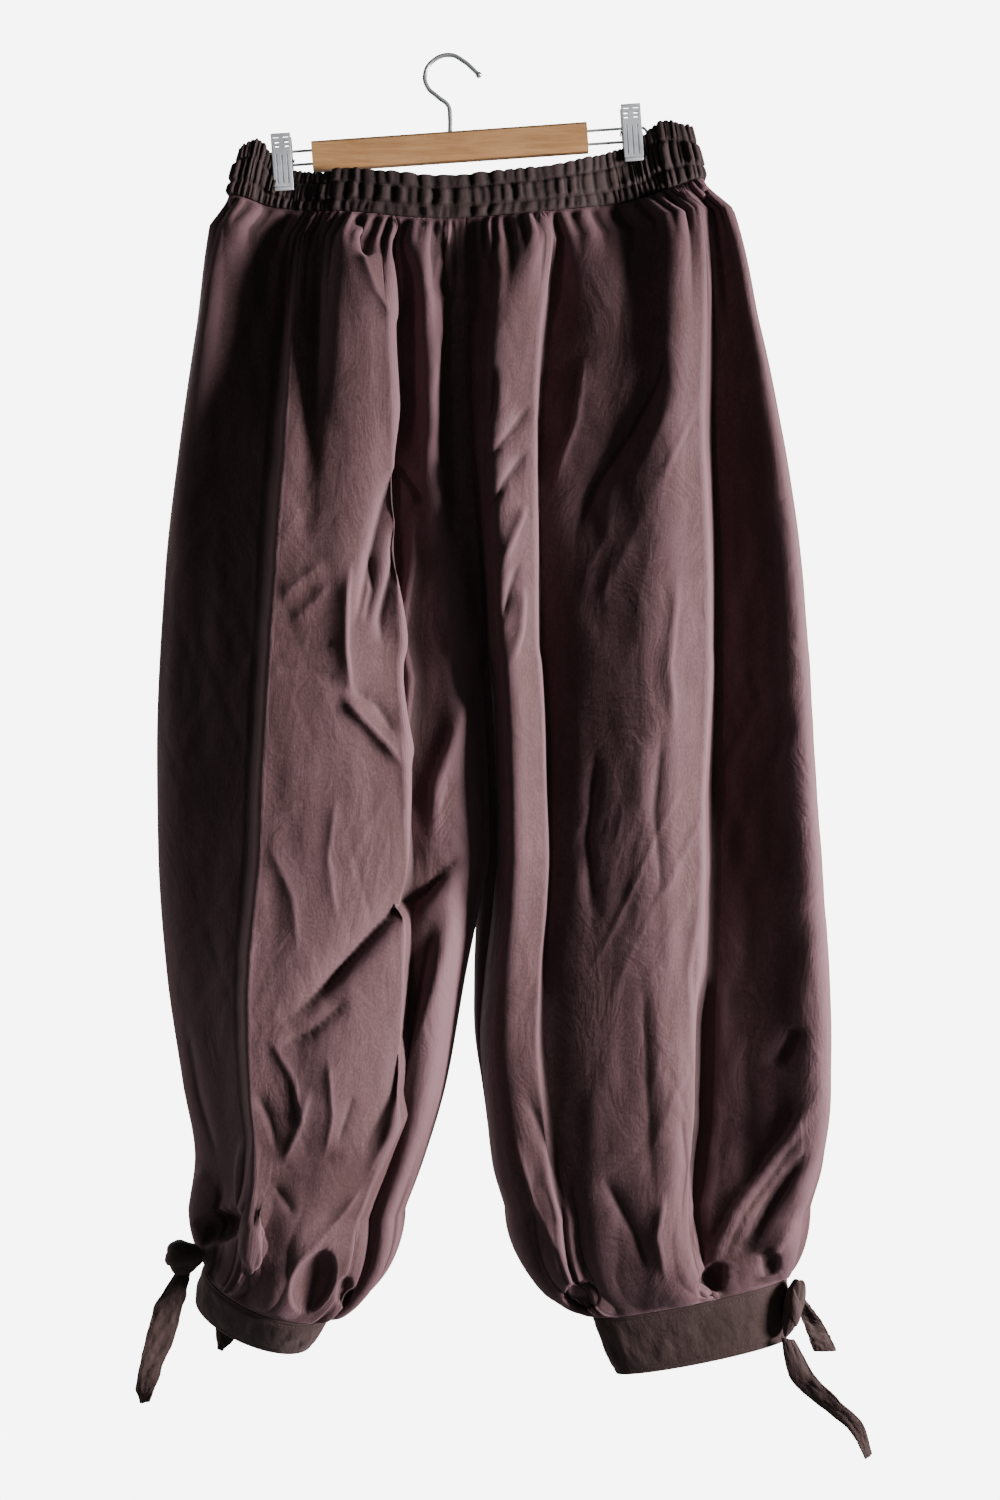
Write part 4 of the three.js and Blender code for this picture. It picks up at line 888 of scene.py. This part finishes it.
def makePanel(name, panel):
    t, across, width = clothColumns(panel, panel["across"])
    share = np.linspace(0, 1, panel["down"])
    drop = through(panelForm["rowShares"], panelForm["rowDrops"], share)
    flip = legs[panel["leg"]]["outward"] * panel["facing"]
    seed = int(panel["seed"] * 100)
    grid = panelSurface(panel, t, drop)
    smooth = rowNormals(grid, flip)
    edgeFade = np.minimum(1, np.minimum(t, 1 - t) * panelForm["edgeFade"])
    endFade = ease((drop - waistSeamDrop) / panelForm["topFade"]) * ease((hemDrop - drop) / panelForm["hemFade"])
    grid = grid + smooth * (gathers(t, drop[:, None], panel["seed"]) * edgeFade)[..., None]
    x, low = frontView(grid) if panel["facing"] > 0 else (grid[..., 0], -grid[..., 2])
    lift = sum((creaseHeight(crease, x, low) for crease in panel["creases"]), np.zeros_like(x))
    lift = lift + sum(hollowDepth(hollow, x, low) for hollow in panel["hollows"])
    for shift, (height, wide, long, startX, startLow) in enumerate(panelForm["swells"]):
        lift = lift + height * smoothNoise(x / wide + startX, low / long + startLow, seed + shift)
    lift = lift + crumples(x, low, seed + 20)
    normal = rowNormals(grid, flip)
    grid = grid + normal * (lift * edgeFade * endFade[:, None])[..., None]
    normal = rowNormals(grid, flip)
    piece = addGrid(name + "_cloth", grid)
    turnOut(piece, flip > 0)
    layFlat(piece, across, drop[:, None])
    markPoints(piece, "crest", crestsOf(grid, normal, 2))
    thicken(piece, clothWall)
    panel["piece"], panel["flatWidth"] = piece, width


for name, panel in panels.items():
    makePanel(name, panel)
print("leg panels ready")


# ---- cuffs ----
def makeCuff(name, cuff):
    angle = np.linspace(0, 2 * math.pi, cuff["around"], endpoint=False)
    share = np.linspace(0, 1, cuff["down"])[:, None]
    down = share * (cuff["height"] - 0.15) + 0.15
    off = 0.4 + 1.4 * np.sin(math.pi * clamp01(share * 1.02)) ** 0.5
    off = off + 0.9 * smoothNoise(angle * 6, share * 3, 5) * np.sin(math.pi * share)
    off = off + 0.35 * smoothNoise(angle * 17 + 4 * share, share * 5, 6) * np.sin(math.pi * share)
    for line in cuffForm["stitchLines"]:
        off = off - 0.6 * np.exp(-((share - line) / cuffForm["stitchWidth"]) ** 2)
    grid = cuffPoint(cuff, angle, down, off)
    piece = addGrid("cuff_" + name + "_cloth", grid, closed=True)
    turnOut(piece, False)
    layFlat(piece, angle * cuff["halfWidth"] * 0.8, down)
    markPoints(piece, "crest", np.zeros(grid.shape[:2]))
    thicken(piece, cuffForm["cloth"], -1)
    loop = np.concatenate([grid, grid[:, :1]], axis=1)
    outward = loop - loop.mean(axis=1, keepdims=True)
    for line in cuffForm["stitchLines"]:
        row = round(line * (cuff["down"] - 1))
        sewStitches(piece, loop[row], outward[row])
    cuff["piece"] = piece


for name, cuff in cuffs.items():
    makeCuff(name, cuff)
print("cuffs ready")

# ---- ties and knots ----
# x, forward and drop of the middle of each tie, half its width, and how far its width line leans in degrees
ties = {
    "tie_left_long": {"rows": [(-213.4, 36, 987.2, 6.5, 12), (-223.8, 41, 1012, 13, 16), (-232.8, 40, 1045, 12, 14),
                               (-240.8, 36, 1070, 12, 30), (-244.8, 32, 1093, 4, 20)], "curl": 3.0, "seed": 3},
    "tie_left_short": {"rows": [(-186, 2, 1004, 8, -25), (-180, 0, 1026, 12, -25), (-184, -3, 1046, 9, -20),
                                (-189, -5, 1061, 2, -15)], "curl": 2.0, "seed": 5},
    "tie_right_long": {"rows": [(273, 28, 1042.4, 5, -10), (283, 32, 1070, 9, 20), (309, 30, 1096, 7, 40),
                                (329, 26, 1115, 6, 45), (339, 24, 1139, 3, 20)], "curl": 3.0, "seed": 8},
    "tie_right_short": {"rows": [(281.2, 15, 1010, 6, -20), (295, 12, 1032, 11, -25), (306, 9, 1058, 9, 0)],
                        "curl": 2.5, "seed": 11},
}
tieCloth = {"thickness": 1.6, "across": 22, "down": 90, "hem": 0.8, "hemDip": 0.35}


def makeTie(name, tie):
    rows = np.array(tie["rows"], float)
    run = runningSum(np.hypot(np.diff(rows[:, 0]), np.diff(rows[:, 2])))
    at = np.linspace(0, run[-1], tieCloth["down"])
    x, forward, drop, half, lean = (through(run, rows[:, i], at)[:, None] for i in range(5))
    across = np.linspace(-1, 1, tieCloth["across"])[None, :]
    lean = np.radians(lean)
    share = (at / run[-1])[:, None]
    middle = 1.5 * (1 - across ** 2) * (1 - 0.5 * share)  # the folded strip stands up along its middle
    twist = tie["curl"] * across * wave(0.9 * share + 0.1 * tie["seed"]) * ease(share * 3)
    rumple = 0.9 * smoothNoise(across * 1.6 + 9 + 3 * share, share * 9, tie["seed"])
    rumple = rumple + 0.4 * smoothNoise(across * 4 + 9, share * 24, tie["seed"] + 1)
    hem = -tieCloth["hemDip"] * np.exp(-((np.abs(across) - tieCloth["hem"]) / 0.05) ** 2)
    edge = 1 + 0.06 * smoothNoise(share * 14, across * 0 + 2, tie["seed"] + 2)
    grid = np.stack([x + across * half * edge * np.cos(lean), -(forward + middle + twist + rumple + hem),
                     -drop + across * half * edge * np.sin(lean)], axis=2)
    piece = addGrid(name + "_cloth", grid)
    turnOut(piece, True)
    layFlat(piece, across * half, at[:, None])
    markPoints(piece, "crest", crestsOf(grid, rowNormals(grid, -1), 2))
    thicken(piece, tieCloth["thickness"])
    forwards = np.broadcast_to([0.0, -1.0, 0.0], (tieCloth["down"], 3))
    for column in (2, tieCloth["across"] - 3):
        sewStitches(piece, (grid[:, column] + forwards * tieCloth["thickness"] / 2)[:-3], forwards[:-3])
    tie["piece"], tie["length"], tie["width"] = piece, run[-1], 2 * float(np.mean(half))


for name, tie in ties.items():
    makeTie(name, tie)

knots = {
    "knot_left": {"centre": (-212.6, -36, -975), "half": (15, 10, 14), "roll": -20, "pitch": 0, "band": 0.5},
    "knot_right": {"centre": (277.6, -27.8, -1016), "half": (8, 9, 24), "roll": -14, "pitch": 0, "band": -0.4},
}
knotGrid = {"around": 96, "down": 64, "pole": 0.012, "flat": (70, 18)}


def makeKnot(name, knot):  # a pulled-tight wad with a strip of the tie wrapped over it
    angle = np.linspace(0, 2 * math.pi, knotGrid["around"], endpoint=False)[None, :]
    tall = np.linspace(knotGrid["pole"], math.pi - knotGrid["pole"], knotGrid["down"])[:, None]
    x, y, z = np.sin(tall) * np.cos(angle), np.sin(tall) * np.sin(angle), np.cos(tall) + 0 * angle
    around = np.arctan2(x, z)
    pleats = 0.09 * np.cos(3 * around) * (1 - y ** 2) + 0.02 * np.cos(7 * around + 4 * y)
    slant = z - knot["band"] * x
    wrap = 0.13 * ease((0.4 - np.abs(slant)) / 0.1) * (1 + 0.3 * np.cos(10 * slant))
    size = 1 - pleats * (1 - ease((0.42 - np.abs(slant)) / 0.1)) + wrap * (1 - np.abs(x) ** 4) - 0.015
    body = np.stack([x * size, y * size, z * size], axis=2) * np.array(knot["half"], float)
    grid = body @ ringTurn(knot).T + np.array(knot["centre"], float)
    piece = addGrid(name + "_wad", grid, closed=True)
    makeActive(piece)
    bpy.ops.object.mode_set(mode="EDIT")
    bpy.ops.mesh.select_all(action="SELECT")
    bpy.ops.mesh.region_to_loop()
    bpy.ops.mesh.fill()
    bpy.ops.mesh.select_all(action="SELECT")
    bpy.ops.mesh.normals_make_consistent(inside=False)
    bpy.ops.object.mode_set(mode="OBJECT")
    turnOut(piece, False)
    layFlat(piece, angle / (2 * math.pi) * knotGrid["flat"][0], tall * knotGrid["flat"][1])
    # the wad's dented pleats come out below 0, where the cloth material paints shade
    markPoints(piece, "crest", 3 * (size - 0.93))
    knot["piece"] = piece


for name, knot in knots.items():
    makeKnot(name, knot)
print("ties and knots ready")

# ---- hanger: wood, wire and clips ----
hanger = {"drop": 74, "tilt": 4, "barLength": 226, "wireSpacing": 11, "wireRadius": 1.1, "hookRadius": 1.8}
hookRoute = [(0, -61.5), (0, -50), (-1.5, -40), (-10, -32.5), (-18.5, -24.5), (-20.5, -14), (-14.5, -3.5), (0, 1.8),
             (11.5, -3.5), (18.5, -9.5), (23.5, -14.5)]  # x and z of the wire's middle
hookBall = 2.6
clips = {
    "left": {"x": -137.5, "reach": 150, "lower": 4},
    "right": {"x": 149.5, "reach": 162, "lower": 0},
}
clipPlate = {
    "width": 16, "height": 47, "thickness": 1.8, "halfGrip": 5.6,
    "slot": (4.4, 4, 1.8), "slotSpacing": (4, 3.4), "slotTop": 4,
    "groove": (1.4, 1, 24), "grooveSpacing": 4.4, "grooveDrop": 6,
    "lip": (16, 2.6, 3.2), "lipOut": 0.9, "lipRise": 1.4,
}
spring = {"radius": 3.3, "wire": 0.55, "halfLength": 9.2, "turns": 9, "steps": 16}


def inHanger(point):  # from the bar's frame to the hook's, in millimetres
    tilt = math.radians(hanger["tilt"])
    x, y, z = point
    return x * math.cos(tilt) - z * math.sin(tilt), y, x * math.sin(tilt) + z * math.cos(tilt) - hanger["drop"]


def sweepWire(name, route, radius, rounded):  # a round wire along a route of points, made a mesh
    data = bpy.data.curves.new(name, "CURVE")
    data.dimensions = "3D"
    data.bevel_depth = radius * mm
    data.bevel_resolution = 5
    data.use_fill_caps = True
    spline = data.splines.new("BEZIER" if rounded else "POLY")
    spline.resolution_u = 10
    points = spline.bezier_points if rounded else spline.points
    points.add(len(route) - 1)
    for point, place in zip(points, route):
        point.co = [value * mm for value in place] + ([] if rounded else [1])
        if rounded:
            point.handle_left_type = point.handle_right_type = "AUTO"
    piece = addObject(name, data)
    makeActive(piece)
    bpy.ops.object.convert(target="MESH")
    bpy.ops.object.shade_smooth_by_angle(angle=math.radians(50))
    return piece


def joinAll(name, parts):
    bpy.ops.object.select_all(action="DESELECT")
    for part in parts:
        part.select_set(True)
    bpy.context.view_layer.objects.active = parts[0]
    bpy.ops.object.join()
    bpy.ops.object.transform_apply(location=True, rotation=True, scale=True)
    parts[0].name = name
    return parts[0]


def addBlock(size, place, bevel=0.0):  # a block in the bar's frame, its edges rounded by bevel
    bpy.ops.object.select_all(action="DESELECT")
    bpy.ops.mesh.primitive_cube_add(size=1, location=[value * mm for value in inHanger(place)],
                                    rotation=(0, -math.radians(hanger["tilt"]), 0))
    block = bpy.context.object
    block.scale = [value * mm for value in size]
    bpy.ops.object.transform_apply(location=True, rotation=True, scale=True)
    if bevel:
        rounding = block.modifiers.new("edges", "BEVEL")
        rounding.width, rounding.segments, rounding.limit_method = bevel * mm, 3, "ANGLE"
        bpy.ops.object.modifier_apply(modifier=rounding.name)
    return block


hookWire = sweepWire("hook_wire", [(x, 0, z) for x, z in hookRoute], hanger["hookRadius"], True)
bpy.ops.object.select_all(action="DESELECT")
bpy.ops.mesh.primitive_uv_sphere_add(segments=28, ring_count=16, radius=hookBall * mm,
                                     location=(hookRoute[-1][0] * mm, 0, hookRoute[-1][1] * mm))
bpy.ops.object.shade_smooth()
hook = joinAll("hook_bent", [hookWire, bpy.context.object])
hardPieces = [(hook, "hanger_hook", "steel_wire", "steel")]


def makeClip(side, clip):
    outward, half, reach = math.copysign(1, clip["x"]), hanger["wireSpacing"] / 2, clip["reach"]
    bend = [math.radians(90 - 15 * i) for i in range(13)]
    loop = [(hanger["barLength"] / 2 + 0.3, half)]
    loop += [(reach - half + half * math.cos(turn), half * math.sin(turn)) for turn in bend]
    loop += [(hanger["barLength"] / 2 + 0.3, -half)]
    route = [inHanger((outward * x, 0, z)) for x, z in loop]
    wire = sweepWire("clip_loop_" + side, route, hanger["wireRadius"], False)
    hardPieces.append((wire, "clip_wire_" + side, "steel_wire", "steel"))
    away = clipPlate["halfGrip"] + clipPlate["thickness"] / 2
    for face, name in ((-1, "front"), (1, "back")):
        centre = (clip["x"], face * away, -clip["lower"])
        size = (clipPlate["width"], clipPlate["thickness"], clipPlate["height"])
        plate = addBlock(size, centre, 0.5)
        top, bottom = (-clip["lower"] + end * clipPlate["height"] / 2 for end in (1, -1))
        slotAcross, slotDown = clipPlate["slotSpacing"]
        cutters = [addBlock(clipPlate["slot"], (clip["x"] + slotAcross * column, face * away,
                            top - clipPlate["slotTop"] - slotDown * row), 0.4)
                   for row in range(3) for column in (-1, 1)]
        surface = face * (away + clipPlate["thickness"] / 2)
        cutters += [addBlock(clipPlate["groove"], (clip["x"] + clipPlate["grooveSpacing"] * column, surface,
                             -clip["lower"] - clipPlate["grooveDrop"]), 0.3) for column in (-1, 0, 1)]
        cutter = joinAll("cutter", cutters)
        makeActive(plate)
        cut = plate.modifiers.new("slots", "BOOLEAN")
        cut.operation, cut.object, cut.solver = "DIFFERENCE", cutter, "EXACT"
        bpy.ops.object.modifier_apply(modifier=cut.name)
        bpy.data.objects.remove(cutter)
        lipPlace = (clip["x"], face * (away + clipPlate["lipOut"]), bottom + clipPlate["lipRise"])
        lip = addBlock(clipPlate["lip"], lipPlace, 1.1)
        plate = joinAll("clip_plate_" + name + "_" + side, [plate, lip])
        makeActive(plate)
        bpy.ops.object.shade_smooth_by_angle(angle=math.radians(35))
        hardPieces.append((plate, "clip_" + name + "_" + side, "clip_plate", "clip"))
    coil = []
    last = spring["turns"] * spring["steps"]
    for i in range(last + 1):
        turn = 2 * math.pi * i / spring["steps"]
        along = clip["x"] + spring["halfLength"] * (2 * i / last - 1)
        coil.append(inHanger((along, spring["radius"] * math.cos(turn), spring["radius"] * math.sin(turn))))
    spiral = sweepWire("clip_coil_" + side, coil, spring["wire"], False)
    hardPieces.append((spiral, "clip_spring_" + side, "steel_wire", "blackSteel"))


for side, clip in clips.items():
    makeClip(side, clip)
print("hanger ready")


# ---- hard finishes ----
def buildWood():  # oiled beech: long grain, short darker flecks and a little wear
    material, tree = newMaterial("oiled beech")
    body = addNode(tree, "ShaderNodeTexCoord").outputs["Object"]
    level = addNode(tree, "ShaderNodeMapping", {"Vector": body, "Rotation": (0, math.radians(hanger["tilt"]), 0),
                    "Scale": (1, 9, 9)}).outputs[0]
    thin = addNode(tree, "ShaderNodeMapping", {"Vector": level, "Scale": (1, 5, 5)}).outputs[0]
    grain = noiseOn(tree, level, 26.0, 6.0, 0.62, 0.5)
    flecks = noiseOn(tree, thin, 120.0, 2.0)
    cloud = noiseOn(tree, body, 14.0, 3.0)
    colour = blendColours(tree, rescale(tree, grain, 0.32, 0.7), (0.62, 0.330, 0.145, 1), (0.40, 0.185, 0.070, 1))
    colour = blendColours(tree, rescale(tree, flecks, 0.56, 0.7, 0.0, 0.55), colour, (0.28, 0.120, 0.045, 1))
    colour = blendColours(tree, rescale(tree, cloud, 0.4, 0.7, 0.0, 0.3), colour, (0.70, 0.40, 0.19, 1))
    addSurface(tree, {
        "Base Color": colour, "Roughness": rescale(tree, grain, 0.3, 0.7, 0.38, 0.55),
        "Normal": bumpOf(tree, grain, 0.25, 0.0004)})
    return material


def buildMetal(name, colour, metallic, roughness, marks):
    material, tree = newMaterial(name)
    body = addNode(tree, "ShaderNodeTexCoord").outputs["Object"]
    smear, fine = noiseOn(tree, body, marks, 4.0, 0.6), noiseOn(tree, body, marks * 14, 2.0)
    darker = tuple(value * 0.7 for value in colour[:3]) + (1,)
    tone = blendColours(tree, rescale(tree, smear, 0.42, 0.72), colour, darker)
    addSurface(tree, {
        "Base Color": tone, "Metallic": metallic, "Normal": bumpOf(tree, fine, 0.12, 0.0002),
        "Roughness": rescale(tree, smear, 0.3, 0.75, roughness - 0.06, roughness + 0.12)})
    return material


woodMaterial = buildWood()
metals = {
    "steel": buildMetal("bright steel wire", (0.70, 0.71, 0.73, 1), 0.75, 0.26, 60.0),
    "clip": buildMetal("nickel plated clip", (0.78, 0.79, 0.83, 1), 0.35, 0.34, 40.0),
    "blackSteel": buildMetal("blackened spring steel", (0.035, 0.036, 0.04, 1), 0.6, 0.45, 80.0),
}
dress(bpy.data.objects["hanger_bar"], woodMaterial)

# ---- riding, replacing and closing ----
clothPieces = [(waistband[name], name, shadedWaistMaterial) for name in ("waistband_front", "waistband_back")]
clothPieces += [(panel["piece"], name, clothMaterial) for name, panel in panels.items()]
clothPieces += [(cuff["piece"], "cuff_" + name, shadedCuffMaterial) for name, cuff in cuffs.items()]
for name, made in list(ties.items()) + list(knots.items()):
    clothPieces.append((made["piece"], name, shadedCuffMaterial))
for piece, node, material in clothPieces:
    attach(piece, "root")
    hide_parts(node)
    dress(piece, material)
for piece, node, slot, finish in hardPieces:
    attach(piece, "root")
    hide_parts(node)
    dress(piece, metals[finish])

({"cad": [list(map(float, corner)) for corner in startBox],
           "visual": [list(map(float, corner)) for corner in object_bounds()]})
